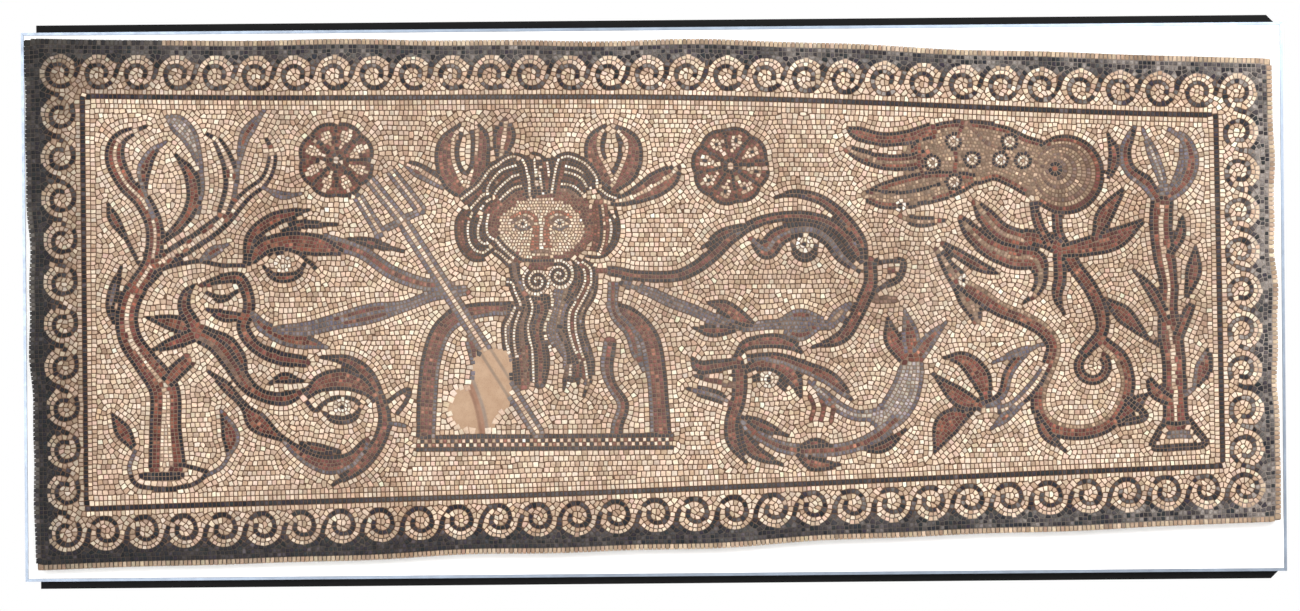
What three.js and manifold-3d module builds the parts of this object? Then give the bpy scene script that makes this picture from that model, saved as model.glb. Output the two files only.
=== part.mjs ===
// A Roman floor mosaic lifted and mounted for display on a wall.
//
// Millimetres. +X runs along the panel to the viewer's right, +Z up, and the tesserae look to -Y.
// The origin is the middle of the rear frame's back face, where the panel meets the wall.
//
// From the wall to the viewer: a black steel frame of two rails and five uprights, a white backing
// board with an aluminium edge, and the mosaic, a slab of mortar with its tesserae set flush. Each
// figure or line of coloured tesserae is one inlay, in a pocket of the slab.

import * as THREE from 'three';
import { mergeVertices } from 'three/addons/utils/BufferGeometryUtils.js';
import Module from 'manifold-3d';

const wasm = await Module();
wasm.setup();

// ---- driving dimensions ---------------------------------------------------------------------

const BOARD_WIDTH = 3098;
const BOARD_HEIGHT = 1348;
const BOARD_THICKNESS = 18;
const FRAME_DEPTH = 40;               // rails and uprights, from the wall to the board
const SLAB_THICKNESS = 35;            // mortar bed and tesserae together
const TESSERA = 12;                   // edge of one tessera, and the depth of an inlay
const GAP = 0.3;                      // clearance between touching pieces
const TIP = 5;                        // a stroke narrower than this, halved, ends in a point

const TRIM_FACE = 7;                  // aluminium edge, seen from the front
const TRIM_PROUD = 2;                 // and how far it stands in front of the board
const RAIL_HEIGHT = 70;
const RAIL_PROUD = 20;                // a rail shows this much above or below the board
const RAIL_ENDS = [33, 18];           // and stops this short of the board's left and right ends
const RAIL_CHAMFER = 17;              // cut corner at a rail's right end
const UPRIGHT_WIDTH = 60;
const UPRIGHT_COUNT = 5;

// Corners of the lifted mosaic and of the dark line round its picture: left top, right top,
// right bottom, left bottom. The old floor wasn't square, so neither is the panel.
const OUTER_CORNERS = [[-1533, 655], [1512, 580], [1526, -548], [-1512, -642]];
const INNER_CORNERS = [[-1392, 515], [1376, 444], [1386, -413], [-1391, -494]];
const EDGE_WAVE = 3.5;                // the cut edge wanders by this much
const EDGE_SWAYS = [[3, 1], [7, 0.6]];   // its sine waves along a side: how many, how strong
const EDGE_STEPS = [16, 6, 16, 6];    // chords along each side of the cut edge
const LINE_STEPS = [7, 1, 4, 1];      // and of the dark line
const BOWS = [21, 0, 7, 0];           // each side bows outwards by this much, with its border
const BOW_SKEW = 1.15;                // and furthest a little past its middle

// The border: one row of pale tesserae, then a dark band whose inner edge is a row of running
// waves. Each wave is a round pale head that bites into the band.
const WAVES = [30, 10, 30, 11];       // waves along each side, corner to corner
const WAVE_DEPTH = 0.6;               // wave centres, as a share of the border's width
const WAVE_RADIUS = 46;
const WAVE_CHORDS = 3;                // chords to half a wave head
const CORNER_TURN = 1.5;              // a corner's head is so many times half way round
const BORDER_WIDTH = 140;             // from the cut edge to the dark line
const LINE_HALF = TESSERA / 2;        // the dark line round the picture is one row wide

const BACK_OF_BOARD = -FRAME_DEPTH;
const FRONT_OF_BOARD = BACK_OF_BOARD - BOARD_THICKNESS;
const BACK_OF_SLAB = FRONT_OF_BOARD - GAP;
const FACE = BACK_OF_SLAB - SLAB_THICKNESS;

// ---- the picture: each stroke is a list of [x, z, half width] ---------------------------------

const TREE_LEFT = [
  [[-1192, -392, 46], [-1198, -205, 37], [-1280, -80, 29], [-1282, 0, 27], [-1226, 110, 24],
    [-1218, 190, 22], [-1290, 305, 22], [-1314, 365, 22], [-1236, 440, 3]],
  [[-1245, 70, 18], [-1200, 112, 20], [-1055, 205, 20], [-948, 306, 13], [-928, 352, 12],
    [-944, 408, 3]],
  [[-1050, 225, 16], [-1030, 290, 20], [-1038, 352, 18], [-1090, 421, 3]],
  [[-1205, 150, 8], [-1150, 205, 14], [-1120, 280, 18], [-1166, 370, 3]],
  [[-1098, 190, 6], [-1104, 335, 8], [-1140, 420, 21], [-1188, 464, 4]],
  [[-1222, 215, 5], [-1240, 335, 15], [-1188, 402, 3]],
  [[-1250, 105, 6], [-1310, 205, 14], [-1332, 252, 3]],
  [[-1022, 262, 5], [-990, 420, 14], [-945, 478, 3]],
  [[-1192, -195, 16], [-1165, -157, 20], [-1140, -135, 18]],
  [[-1326, -262, 3], [-1300, -305, 20], [-1275, -360, 7], [-1270, -430, 6]],
  [[-1060, -255, 3], [-1037, -318, 22], [-1044, -375, 7], [-1105, -418, 6]],
  [[-1285, -418, 7], [-1215, -446, 7], [-1150, -442, 7], [-1108, -422, 7], [-1165, -386, 7]],
];

const TREE_RIGHT = [
  [[1272, -300, 31], [1262, -100, 29], [1257, 0, 24], [1242, 150, 28], [1243, 245, 28]],
  [[1236, 235, 14], [1165, 312, 14], [1152, 355, 14], [1182, 418, 3]],
  [[1250, 240, 10], [1225, 345, 13], [1198, 412, 3]],
  [[1256, 240, 12], [1324, 310, 15], [1322, 360, 14], [1262, 408, 3]],
  [[1262, 105, 8], [1285, 150, 14], [1293, 196, 4]],
  [[1318, 118, 3], [1314, 60, 18], [1276, -8, 6]],
  [[1250, -55, 12], [1205, 30, 12], [1172, 68, 3]],
  [[1112, -6, 3], [1160, -50, 18], [1205, -102, 6], [1242, -120, 6]],
  [[1280, -95, 14], [1314, -15, 12]],
  [[1356, -128, 3], [1340, -175, 18], [1316, -225, 6], [1290, -242, 6]],
  [[1205, -205, 4], [1222, -235, 14], [1255, -250, 12]],
  [[1246, -290, 7], [1216, -366, 7], [1342, -360, 7], [1298, -290, 7]],
];

const BEAST_LEFT_UPPER = [
  [[-532, 42, 13], [-640, 78, 17], [-715, 128, 16], [-790, 150, 20], [-880, 158, 22],
    [-955, 138, 20], [-1004, 70, 8]],
  [[-994, 50, 9], [-982, 165, 16], [-935, 205, 18], [-840, 232, 3]],
  [[-880, 160, 8], [-850, 192, 12], [-772, 196, 3]],
  [[-752, 140, 6], [-690, 150, 12], [-610, 128, 3]],
  [[-1102, 52, 4], [-1050, 66, 12], [-1004, 60, 14], [-990, -15, 15], [-1000, -70, 16],
    [-940, -120, 16], [-852, -140, 13]],
  [[-1092, -8, 4], [-1052, -25, 14], [-1005, -28, 10]],
  [[-990, -30, 6], [-880, -82, 22], [-798, -104, 4]],
  [[-950, -58, 10], [-850, -58, 17], [-690, -22, 24], [-610, -5, 14], [-530, 12, 12]],
];

const BEAST_LEFT_LOWER = [
  [[-850, -215, 9], [-815, -192, 22], [-760, -183, 26], [-668, -240, 12]],
  [[-815, -128, 3], [-750, -138, 14], [-668, -228, 12]],
  [[-672, -225, 12], [-660, -280, 16], [-675, -335, 17], [-790, -442, 3]],
  [[-895, -328, 8], [-860, -368, 16], [-800, -392, 22], [-745, -378, 18], [-688, -330, 10]],
  [[-1090, -160, 4], [-1005, -245, 12], [-972, -285, 26], [-880, -338, 8]],
  [[-1120, -62, 24], [-1060, -100, 26], [-1000, -190, 20], [-900, -228, 17], [-842, -208, 8]],
  [[-1115, -62, 16], [-1175, -42, 20], [-1238, -28, 4]],
  [[-1125, -45, 17], [-1145, 10, 15], [-1122, 52, 3]],
  [[-1128, -72, 18], [-1180, -92, 15], [-1228, -108, 3]],
];

const BEAST_RIGHT_UPPER = [
  [[-78, 66, 12], [45, 62, 14], [143, 112, 17], [240, 186, 13], [345, 207, 12],
    [443, 181, 14], [528, 85, 12]],
  [[118, 131, 3], [170, 158, 13], [246, 188, 4]],
  [[240, 145, 12], [275, 128, 24], [320, 162, 22], [400, 168, 18], [462, 105, 16],
    [520, 62, 6]],
  [[298, 252, 3], [345, 262, 10], [443, 222, 14], [518, 92, 10]],
  [[528, 92, 15], [520, 10, 17], [455, -92, 16], [385, -114, 3]],
  [[535, 94, 7], [602, 92, 8], [540, 20, 7]],
  [[-78, 42, 8], [40, 0, 14], [205, -62, 13], [357, -50, 22], [425, -60, 12], [485, -40, 8]],
  [[132, -2, 3], [172, -15, 18], [250, -62, 4]],
];

const BEAST_RIGHT_LOWER = [
  [[198, -142, 8], [225, -108, 14], [285, -97, 18], [360, -128, 3]],
  [[203, -148, 16], [205, -230, 18], [187, -295, 17], [222, -396, 3]],
  [[92, -138, 4], [110, -160, 16], [200, -150, 12]],
  [[78, -212, 4], [125, -224, 13], [195, -250, 8]],
  [[210, -172, 8], [255, -153, 18], [305, -160, 20], [356, -236, 4]],
  [[225, -138, 8], [295, -138, 12], [420, -186, 18], [482, -243, 4]],
  [[375, -178, 4], [408, -225, 12], [450, -262, 14], [500, -284, 18], [568, -285, 34],
    [620, -200, 34], [628, -135, 26]],
  [[202, -292, 8], [255, -330, 12], [320, -360, 15], [480, -358, 15], [590, -290, 14]],
  [[208, -285, 6], [262, -305, 14], [325, -330, 3]],
  [[208, -305, 5], [240, -365, 18], [312, -402, 3]],
  [[345, -370, 4], [390, -396, 18], [452, -402, 3]],
  [[500, -358, 4], [560, -354, 14], [614, -316, 3]],
  [[612, -140, 20], [582, -95, 22], [570, -42, 3]],
  [[630, -130, 20], [625, -80, 20], [612, -25, 3]],
  [[645, -135, 18], [675, -95, 16], [714, -55, 3]],
];

const SPOTTED_BEAST = [
  [[640, 335, 40], [700, 348, 80], [770, 352, 84], [840, 360, 72], [900, 340, 76],
    [950, 318, 92], [1005, 305, 100], [1060, 302, 96], [1105, 308, 60]],
  [[480, 418, 4], [500, 408, 16], [560, 392, 17], [690, 412, 20]],
  [[470, 372, 4], [515, 350, 15], [575, 334, 17], [660, 334, 20]],
  [[528, 278, 8], [585, 282, 18], [660, 300, 26]],
  [[520, 240, 4], [570, 236, 18], [630, 235, 26], [800, 288, 10]],
  [[600, 214, 6], [650, 196, 14], [715, 200, 3]],
  [[1112, 402, 3], [1130, 345, 15], [1108, 285, 8]],
];

const SEA_DRAGON = [
  [[870, 150, 22], [935, 148, 20], [1000, 118, 20], [1066, 25, 18], [1090, -30, 18],
    [1093, -85, 17], [1042, -145, 13], [1050, -195, 12], [1100, -190, 8]],
  [[792, 240, 4], [812, 205, 20], [850, 160, 24], [905, 140, 22]],
  [[750, 205, 4], [790, 155, 20], [880, 108, 26], [935, 100, 26], [945, 50, 16],
    [903, -10, 3]],
  [[690, 125, 4], [712, 78, 14], [765, -10, 22], [788, -62, 4]],
  [[745, 40, 14], [843, -24, 19], [950, -78, 18], [970, -135, 18], [940, -220, 18],
    [950, -295, 19], [1005, -326, 19], [1060, -326, 18], [1130, -285, 18],
    [1156, -205, 17], [1140, -148, 17], [1098, -100, 15]],
  [[932, 190, 10], [962, 130, 12]],
  [[990, 110, 14], [993, 50, 15], [1002, -40, 3]],
  [[1000, 118, 16], [1100, 138, 23], [1196, 194, 3]],
  [[1080, 140, 12], [1100, 205, 20], [1150, 268, 3]],
  [[1202, -235, 3], [1170, -262, 20], [1130, -290, 10]],
  [[930, -272, 6], [955, -330, 14], [1003, -374, 3]],
];

const LEAF_SPRAY = [
  [[815, -262, 14], [795, -190, 26], [755, -148, 20], [706, -142, 3]],
  [[810, -265, 10], [745, -240, 24], [678, -180, 3]],
  [[790, -270, 9], [715, -305, 32], [682, -374, 4]],
  [[800, -270, 14], [850, -235, 14], [868, -175, 14], [935, -112, 4]],
  [[800, -272, 10], [870, -262, 13], [905, -225, 12]],
];

// Shoulders, arms and the bar below them.
const CLOAK = [
  [[-560, -330, 23], [-550, -160, 24], [-528, -80, 22], [-505, -45, 12]],
  [[-108, -8, 12], [-55, -35, 20], [-12, -90, 24], [6, -200, 24], [14, -330, 26]],
  [[-108, -98, 16], [-110, -190, 13], [-78, -250, 14], [-94, -330, 14]],
  [[-584, -341, 20], [44, -341, 20]],
];

// Crab's claws and legs that rise from the hair.
const CLAWS = [
  [[-420, 250, 22], [-495, 305, 28], [-520, 360, 22], [-462, 440, 3]],
  [[-420, 262, 14], [-405, 325, 18], [-400, 380, 15], [-430, 440, 3]],
  [[-365, 315, 8], [-361, 385, 22], [-368, 446, 4]],
  [[-450, 252, 8], [-530, 300, 14], [-612, 336, 3]],
  [[-105, 262, 24], [-138, 335, 20], [-155, 390, 17], [-112, 434, 3]],
  [[-95, 265, 20], [-45, 340, 20], [-32, 390, 16], [-98, 440, 3]],
  [[-140, 240, 8], [-70, 248, 14], [-12, 275, 26], [58, 334, 4]],
];

// The beard's locks, side by side, from the moustache down; and the cloak's fold by the neck.
const BEARD = [
  [[-325, 60, 38], [-335, -80, 24], [-332, -180, 4]],
  [[-290, 60, 34], [-285, -110, 28], [-282, -205, 4]],
  [[-240, 60, 34], [-232, -100, 26], [-212, -210, 4]],
  [[-195, 60, 38], [-186, -80, 26], [-168, -225, 4]],
  [[-330, 0, 16], [-446, -14, 10]],
];

const TRIDENT_HEAD = [
  [[-678, 172, 8], [-560, 232, 8]],
  [[-668, 176, 13], [-720, 262, 12]],
  [[-566, 228, 13], [-640, 326, 12]],
];
const TRIDENT_SHAFT_TOP = [-690, 302];
const TRIDENT_SHAFT_FOOT = [-288, -314];
const TRIDENT_HALF = 15;
const SHAFT_ABOVE_REPAIR = [0, 0.67];       // shares of the shaft's length
const SHAFT_BELOW_REPAIR = [0.875, 0.99];

const HAIR = { x: -281, z: 195, across: 198, up: 172, curls: 8, depth: 0.035, chords: 24 };
const FACE_OPENING = { x: -281, z: 182, across: 106, up: 92, chords: 20 };
const EYES = { x: -281, z: 196, apart: 88, across: 15, up: 10.5, chords: 8 };
const BROWS = [
  [[-352, 214, 5], [-325, 226, 6], [-296, 214, 6], [-290, 130, 8]],
  [[-210, 214, 5], [-237, 226, 6], [-266, 214, 6], [-272, 130, 8]],
  [[-296, 128, 8], [-266, 128, 8]],
];

const ROSETTES = [
  { name: 'rosette_left', x: -773, z: 353, radius: 90 },
  { name: 'rosette_right', x: 190, z: 330, radius: 94 },
];
const ROSETTE_PETALS = 8;
const ROSETTE_CHORDS = 24;
const ROSETTE_LOBE = 0.045;

// Plaster that fills a lost area beside the shaft.
const REPAIR = [[-436, -119], [-379, -111], [-350, -133], [-350, -197], [-357, -254],
  [-386, -283], [-400, -314], [-464, -316], [-489, -297], [-507, -254], [-486, -211],
  [-450, -190]];
const REPAIR_MIDDLE = [-430, -215];

// ---- colours -----------------------------------------------------------------------------------

const COLOURS = {
  ground: 0xcbb391, dark: 0x3b363a, grey: 0x837a76, red: 0x7c4636, brown: 0x84694f,
  plaster: 0xbd9a72, board: 0xf2f1ee, aluminium: 0x9aa1ad, black: 0x141414,
};

const SURFACES = {
  stone: { roughness: 0.85, metalness: 0 },
  board: { roughness: 0.5, metalness: 0 },
  aluminium: { roughness: 0.35, metalness: 0.9 },
  black: { roughness: 0.5, metalness: 0.3 },
};

function finish(colour, surface) {
  return new THREE.MeshStandardMaterial({ color: COLOURS[colour], ...SURFACES[surface] });
}

// ---- solids ------------------------------------------------------------------------------------

// A three.js geometry as a manifold solid: only its positions are kept and merged.
function solid(geometry) {
  const bare = geometry.clone();
  bare.deleteAttribute('normal');
  bare.deleteAttribute('uv');
  const merged = mergeVertices(bare, 1e-4);
  return new wasm.Manifold(new wasm.Mesh({
    numProp: 3,
    vertProperties: new Float32Array(merged.attributes.position.array),
    triVerts: new Uint32Array(merged.index.array),
  }));
}

// A manifold solid as a three.js geometry.
function geometryOf(body) {
  const mesh = body.getMesh();
  const geometry = new THREE.BufferGeometry();
  geometry.setAttribute('position', new THREE.BufferAttribute(mesh.vertProperties, 3));
  geometry.setIndex(new THREE.BufferAttribute(mesh.triVerts, 1));
  geometry.computeVertexNormals();
  return geometry;
}

// Points as vectors that run clockwise, or anticlockwise.
function turned(points, clockwise) {
  const vectors = points.map(([x, z]) => new THREE.Vector2(x, z));
  return THREE.ShapeUtils.isClockWise(vectors) === clockwise ? vectors : vectors.reverse();
}

// An outline in x and z, with holes, as a plate between two depths in y.
function plate(outline, front, back, holes = []) {
  const shape = new THREE.Shape(turned(outline, false));
  for (const hole of holes) shape.holes.push(new THREE.Path(turned(hole, true)));
  const geometry = new THREE.ExtrudeGeometry(shape, { depth: back - front, bevelEnabled: false });
  geometry.rotateX(Math.PI / 2);
  geometry.translate(0, back, 0);
  return solid(geometry);
}

// A tapering stroke: its left and right edges stand off its points by the half width.
function strokeOutline(points, grow) {
  const left = [];
  const right = [];
  points.forEach(([x, z, half], i) => {
    const [x0, z0] = points[Math.max(i - 1, 0)];
    const [x1, z1] = points[Math.min(i + 1, points.length - 1)];
    const length = Math.hypot(x1 - x0, z1 - z0);
    const nx = -(z1 - z0) / length;
    const nz = (x1 - x0) / length;
    const end = i === 0 ? -1 : Number(i === points.length - 1);
    const reach = half < TIP ? TIP + grow : grow;
    const px = x + end * reach * nz;
    const pz = z - end * reach * nx;
    left.push([px + nx * (half + grow), pz + nz * (half + grow)]);
    if (half >= TIP || end === 0) {
      right.push([px - nx * (half + grow), pz - nz * (half + grow)]);
    } else {
      left[left.length - 1] = [px, pz];
    }
  });
  return right.concat(left.reverse());
}

// A wavy ring or disc: radius across and up, with a number of lobes of a relative depth.
function roundOutline(shape, grow) {
  const { x, z, across, up, chords, curls = 0, depth = 0 } = shape;
  return Array.from({ length: chords }, (_, i) => {
    const angle = 2 * Math.PI * i / chords;
    const lobe = 1 + depth * Math.cos(curls * angle);
    return [x + (across + grow) * lobe * Math.cos(angle), z + (up + grow) * lobe * Math.sin(angle)];
  });
}

// ---- the border ----------------------------------------------------------------------------------

const INWARDS = [[0, -1], [-1, 0], [0, 1], [1, 0]];   // from each side towards the picture

const mix = (a, b, t) => a.map((value, i) => value + (b[i] - value) * t);

// The cut edge isn't true: a few long waves, in opposite phase on opposite sides.
function wander(side, along) {
  const turn = 2 * Math.PI * along;
  const sway = EDGE_SWAYS.reduce((sum, [count, share], i) => (
    sum + share * Math.sin(count * turn + (i + 1) * side)), 0);
  return EDGE_WAVE * Math.sin(Math.PI * along) * sway;
}

// A point of the border: side 0 to 3 clockwise from the top, along it, and inwards from the cut
// edge (0) to the dark line (1).
function borderPoint(side, along, inward) {
  const next = (side + 1) % 4;
  const outer = mix(OUTER_CORNERS[side], OUTER_CORNERS[next], along);
  const inner = mix(INNER_CORNERS[side], INNER_CORNERS[next], along);
  const [x, z] = mix(outer, inner, inward);
  const bow = BOWS[side] * Math.sin(Math.PI * along ** BOW_SKEW) ** 2;
  const sway = wander(side, along) * (1 - inward) - bow;
  return [x + INWARDS[side][0] * sway, z + INWARDS[side][1] * sway];
}

function borderLoop(inward, steps = EDGE_STEPS) {
  const points = [];
  for (let side = 0; side < 4; side += 1) {
    for (let i = 0; i < steps[side]; i += 1) {
      points.push(borderPoint(side, i / steps[side], inward));
    }
  }
  return points;
}

// The dark band's inner edge: for each wave a cusp, half way from the wave before, then chords
// round the outer side of its head, half way round or three quarters at a corner. A cusp moves
// in by twice what the band grows, so that its slanting sides move in by about as much.
function waveEdge(grow) {
  const radius = WAVE_RADIUS - grow;
  const points = [];
  for (let side = 0; side < 4; side += 1) {
    const turn = side * Math.PI / 2;
    for (let i = 0; i < WAVES[side]; i += 1) {
      const corner = i === 0;
      const from = corner ? (side + 3) % 4 : side;
      const before = corner ? 1 - 1 / WAVES[from] : (i - 1) / WAVES[side];
      const centre = borderPoint(side, i / WAVES[side], WAVE_DEPTH);
      const middle = mix(borderPoint(from, before, WAVE_DEPTH), centre, 0.5);
      const inwards = INWARDS[from];
      points.push([middle[0] + 2 * grow * inwards[0], middle[1] + 2 * grow * inwards[1]]);
      const chords = corner ? Math.round(WAVE_CHORDS * CORNER_TURN) : WAVE_CHORDS;
      const sweep = corner ? Math.PI * CORNER_TURN : Math.PI;
      const start = Math.PI - turn + (corner ? Math.PI / 2 : 0);
      for (let k = 1; k < chords; k += 1) {
        const angle = start - sweep * k / chords;
        points.push([centre[0] + radius * Math.cos(angle), centre[1] + radius * Math.sin(angle)]);
      }
    }
  }
  return points;
}

// ---- the inlays ------------------------------------------------------------------------------------

const INLAY_BACK = FACE + TESSERA - GAP;
const POCKET_BACK = FACE + TESSERA;
const PROUD = 1;                      // a cutter stands this far out of what it cuts

const inlays = [];
const pockets = [];

// Each shape is a function of how far it grows, so that an inlay and its pocket are one shape.
function inlay(name, colour, shapeOf) {
  let body = shapeOf(0, FACE, INLAY_BACK);
  const pocket = shapeOf(GAP, FACE - PROUD, POCKET_BACK);
  for (const other of pockets) body = body.subtract(other);
  inlays.push({ name, body, material: finish(colour, 'stone') });
  pockets.push(pocket);
}

const strokes = (list) => (grow, front, back) => list
  .map((points) => plate(strokeOutline(points, grow), front, back))
  .reduce((whole, piece) => whole.add(piece));

const disc = (shape) => (grow, front, back) => plate(roundOutline(shape, grow), front, back);

function borderBand(grow, front, back) {
  const start = (TESSERA - grow) / BORDER_WIDTH;
  return plate(borderLoop(start), front, back, [waveEdge(grow)]);
}

function innerLine(grow, front, back) {
  const half = (LINE_HALF + grow) / BORDER_WIDTH;
  const inside = borderLoop(1 + half, LINE_STEPS);
  return plate(borderLoop(1 - half, LINE_STEPS), front, back, [inside]);
}

function repairPatch(grow, front, back) {
  const [cx, cz] = REPAIR_MIDDLE;
  return plate(REPAIR.map(([x, z]) => {
    const reach = 1 + grow / Math.hypot(x - cx, z - cz);
    return [cx + (x - cx) * reach, cz + (z - cz) * reach];
  }), front, back);
}

// The shaft as two strokes, above and below the repair, which was painted over and not relaid.
function shaft([from, to]) {
  const at = (t) => mix(TRIDENT_SHAFT_TOP, TRIDENT_SHAFT_FOOT, t).concat(TRIDENT_HALF);
  return [at(from), at(to)];
}

function godHair(grow, front, back) {
  const hair = plate(roundOutline(HAIR, grow), front, back);
  const opening = plate(roundOutline(FACE_OPENING, -grow), front - PROUD, back + PROUD);
  return hair.subtract(opening).add(strokes(CLAWS)(grow, front, back))
    .add(strokes(BEARD)(grow, front, back)).subtract(opening);
}

inlay('repair_patch', 'plaster', repairPatch);
inlay('inlay_trident', 'grey', strokes([
  ...TRIDENT_HEAD, shaft(SHAFT_ABOVE_REPAIR)]));
inlay('inlay_trident_foot', 'grey', strokes([shaft(SHAFT_BELOW_REPAIR)]));
inlay('inlay_cloak', 'red', strokes(CLOAK));
inlay('inlay_god_hair_and_beard', 'red', godHair);
inlay('inlay_god_brows_and_nose', 'brown', strokes(BROWS));
for (const [name, sign] of [['inlay_god_eye_left', -1], ['inlay_god_eye_right', 1]]) {
  inlay(name, 'dark', disc({ ...EYES, x: EYES.x + sign * EYES.apart / 2 }));
}
for (const { name, x, z, radius } of ROSETTES) {
  inlay('inlay_' + name, 'red', disc({ x, z, across: radius, up: radius,
    chords: ROSETTE_CHORDS, curls: ROSETTE_PETALS, depth: ROSETTE_LOBE }));
}
inlay('inlay_tree_left', 'red', strokes(TREE_LEFT));
inlay('inlay_tree_right', 'red', strokes(TREE_RIGHT));
inlay('inlay_beast_left_upper', 'red', strokes(BEAST_LEFT_UPPER));
inlay('inlay_beast_left_lower', 'red', strokes(BEAST_LEFT_LOWER));
inlay('inlay_beast_right_upper', 'red', strokes(BEAST_RIGHT_UPPER));
inlay('inlay_beast_right_lower', 'red', strokes(BEAST_RIGHT_LOWER));
inlay('inlay_spotted_beast', 'brown', strokes(SPOTTED_BEAST));
inlay('inlay_sea_dragon', 'red', strokes(SEA_DRAGON));
inlay('inlay_leaf_spray', 'red', strokes(LEAF_SPRAY));
inlay('inlay_picture_line', 'dark', innerLine);
inlay('inlay_wave_border', 'dark', borderBand);

// ---- the slab, the board and the frame ---------------------------------------------------------------

function mosaicSlab() {
  let slab = plate(borderLoop(0), FACE, BACK_OF_SLAB);
  for (const pocket of pockets) slab = slab.subtract(pocket);
  return slab;
}

const HALF_WIDTH = BOARD_WIDTH / 2;
const HALF_HEIGHT = BOARD_HEIGHT / 2;

function boardPlate() {
  const w = HALF_WIDTH - TRIM_FACE;
  const h = HALF_HEIGHT - TRIM_FACE;
  return plate([[-w, -h], [w, -h], [w, h], [-w, h]], FRONT_OF_BOARD, BACK_OF_BOARD - GAP);
}

// One bar of the aluminium edge, mitred at its ends. Side 0 is the top, then clockwise.
function edgeTrim(side) {
  const corner = (k, inset) => [
    [-HALF_WIDTH + inset, HALF_HEIGHT - inset], [HALF_WIDTH - inset, HALF_HEIGHT - inset],
    [HALF_WIDTH - inset, -HALF_HEIGHT + inset], [-HALF_WIDTH + inset, -HALF_HEIGHT + inset],
  ][k % 4];
  const inset = TRIM_FACE - GAP;
  const ends = [corner(side, 0), corner(side + 1, 0), corner(side + 1, inset), corner(side, inset)];
  const pull = (from, to) => {
    const length = Math.hypot(to[0] - from[0], to[1] - from[1]);
    return mix(from, to, GAP / length);
  };
  const [a, b, c, d] = ends;
  return plate([pull(a, b), pull(b, a), pull(c, d), pull(d, c)],
    FRONT_OF_BOARD - TRIM_PROUD, BACK_OF_BOARD - GAP);
}

// A rail runs along the top or bottom of the board and shows past it; sign is 1 for the top.
function supportRail(sign) {
  const left = -HALF_WIDTH + RAIL_ENDS[0];
  const right = HALF_WIDTH - RAIL_ENDS[1];
  const out = sign * (HALF_HEIGHT + RAIL_PROUD);
  const inner = out - sign * RAIL_HEIGHT;
  const points = [[left, inner], [right, inner], [right, out - sign * RAIL_CHAMFER],
    [right - RAIL_CHAMFER, out], [left, out]];
  return plate(sign > 0 ? points : points.reverse(), BACK_OF_BOARD, 0);
}

function supportUpright(index) {
  const span = BOARD_WIDTH - 2 * RAIL_ENDS[0] - UPRIGHT_WIDTH;
  const centre = span * (index / (UPRIGHT_COUNT - 1) - 0.5);
  const w = UPRIGHT_WIDTH / 2;
  const h = HALF_HEIGHT + RAIL_PROUD - RAIL_HEIGHT - GAP;
  return plate([[centre - w, -h], [centre + w, -h], [centre + w, h], [centre - w, h]],
    BACK_OF_BOARD, 0);
}

// ---- assembly -----------------------------------------------------------------------------------------

const panel = new THREE.Group();

function add(name, body, material) {
  const mesh = new THREE.Mesh(geometryOf(body), material);
  mesh.name = name;
  panel.add(mesh);
}

add('mosaic_slab', mosaicSlab(), finish('ground', 'stone'));
for (const { name, body, material } of inlays) add(name, body, material);
add('backing_board', boardPlate(), finish('board', 'board'));
['top', 'right', 'bottom', 'left'].forEach((word, side) => {
  add('edge_trim_' + word, edgeTrim(side), finish('aluminium', 'aluminium'));
});
add('support_rail_top', supportRail(1), finish('black', 'black'));
add('support_rail_bottom', supportRail(-1), finish('black', 'black'));
for (let i = 0; i < UPRIGHT_COUNT; i += 1) {
  add('support_upright_' + (i + 1), supportUpright(i), finish('black', 'black'));
}

export default panel;
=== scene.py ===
"""A Roman floor mosaic, lifted and mounted on a white board: the finish of every surface.

The picture is laid out in the plane of the panel, in millimetres from the middle of the board, with
x to the viewer's right and z up. Every tessera is a site with a direction. The sites are set in rows
along the lines of the picture, evened out, and each grows to a stone with four to seven sides that
meets its neighbours at a joint. The meshes are in metres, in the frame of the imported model.
"""

import bpy
import numpy as np
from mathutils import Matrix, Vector


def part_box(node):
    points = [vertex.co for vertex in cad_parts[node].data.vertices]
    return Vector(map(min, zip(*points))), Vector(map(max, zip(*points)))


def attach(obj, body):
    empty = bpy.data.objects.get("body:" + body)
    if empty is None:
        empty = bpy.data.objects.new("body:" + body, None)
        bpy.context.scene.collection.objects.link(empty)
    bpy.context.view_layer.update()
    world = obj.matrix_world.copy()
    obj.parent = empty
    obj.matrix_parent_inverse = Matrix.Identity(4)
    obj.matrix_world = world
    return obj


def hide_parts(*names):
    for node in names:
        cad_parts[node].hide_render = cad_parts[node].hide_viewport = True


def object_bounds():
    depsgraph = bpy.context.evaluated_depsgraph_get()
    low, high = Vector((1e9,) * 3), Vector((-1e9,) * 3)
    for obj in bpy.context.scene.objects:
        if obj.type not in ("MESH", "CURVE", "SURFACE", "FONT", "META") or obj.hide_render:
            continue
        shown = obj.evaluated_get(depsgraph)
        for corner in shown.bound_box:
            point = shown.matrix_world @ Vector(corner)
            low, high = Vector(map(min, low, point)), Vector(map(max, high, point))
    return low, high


bl_info = {
    "name": "Mosaic panel",
    "version": (1, 0, 0),
    "blender": (4, 5, 0),
    "location": "View3D > Sidebar > Mosaic",
    "description": "Tesserae, mortar, plaster repair, backing board and stage of a lifted floor mosaic",
    "category": "Object",
}

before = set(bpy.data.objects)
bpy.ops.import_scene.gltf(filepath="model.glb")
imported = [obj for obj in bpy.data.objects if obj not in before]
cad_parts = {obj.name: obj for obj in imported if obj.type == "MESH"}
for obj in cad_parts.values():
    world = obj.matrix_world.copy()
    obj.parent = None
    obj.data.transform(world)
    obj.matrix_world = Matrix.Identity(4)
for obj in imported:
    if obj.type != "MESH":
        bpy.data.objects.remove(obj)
CAD_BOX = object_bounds()

# ---- the panel, in millimetres ----

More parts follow.
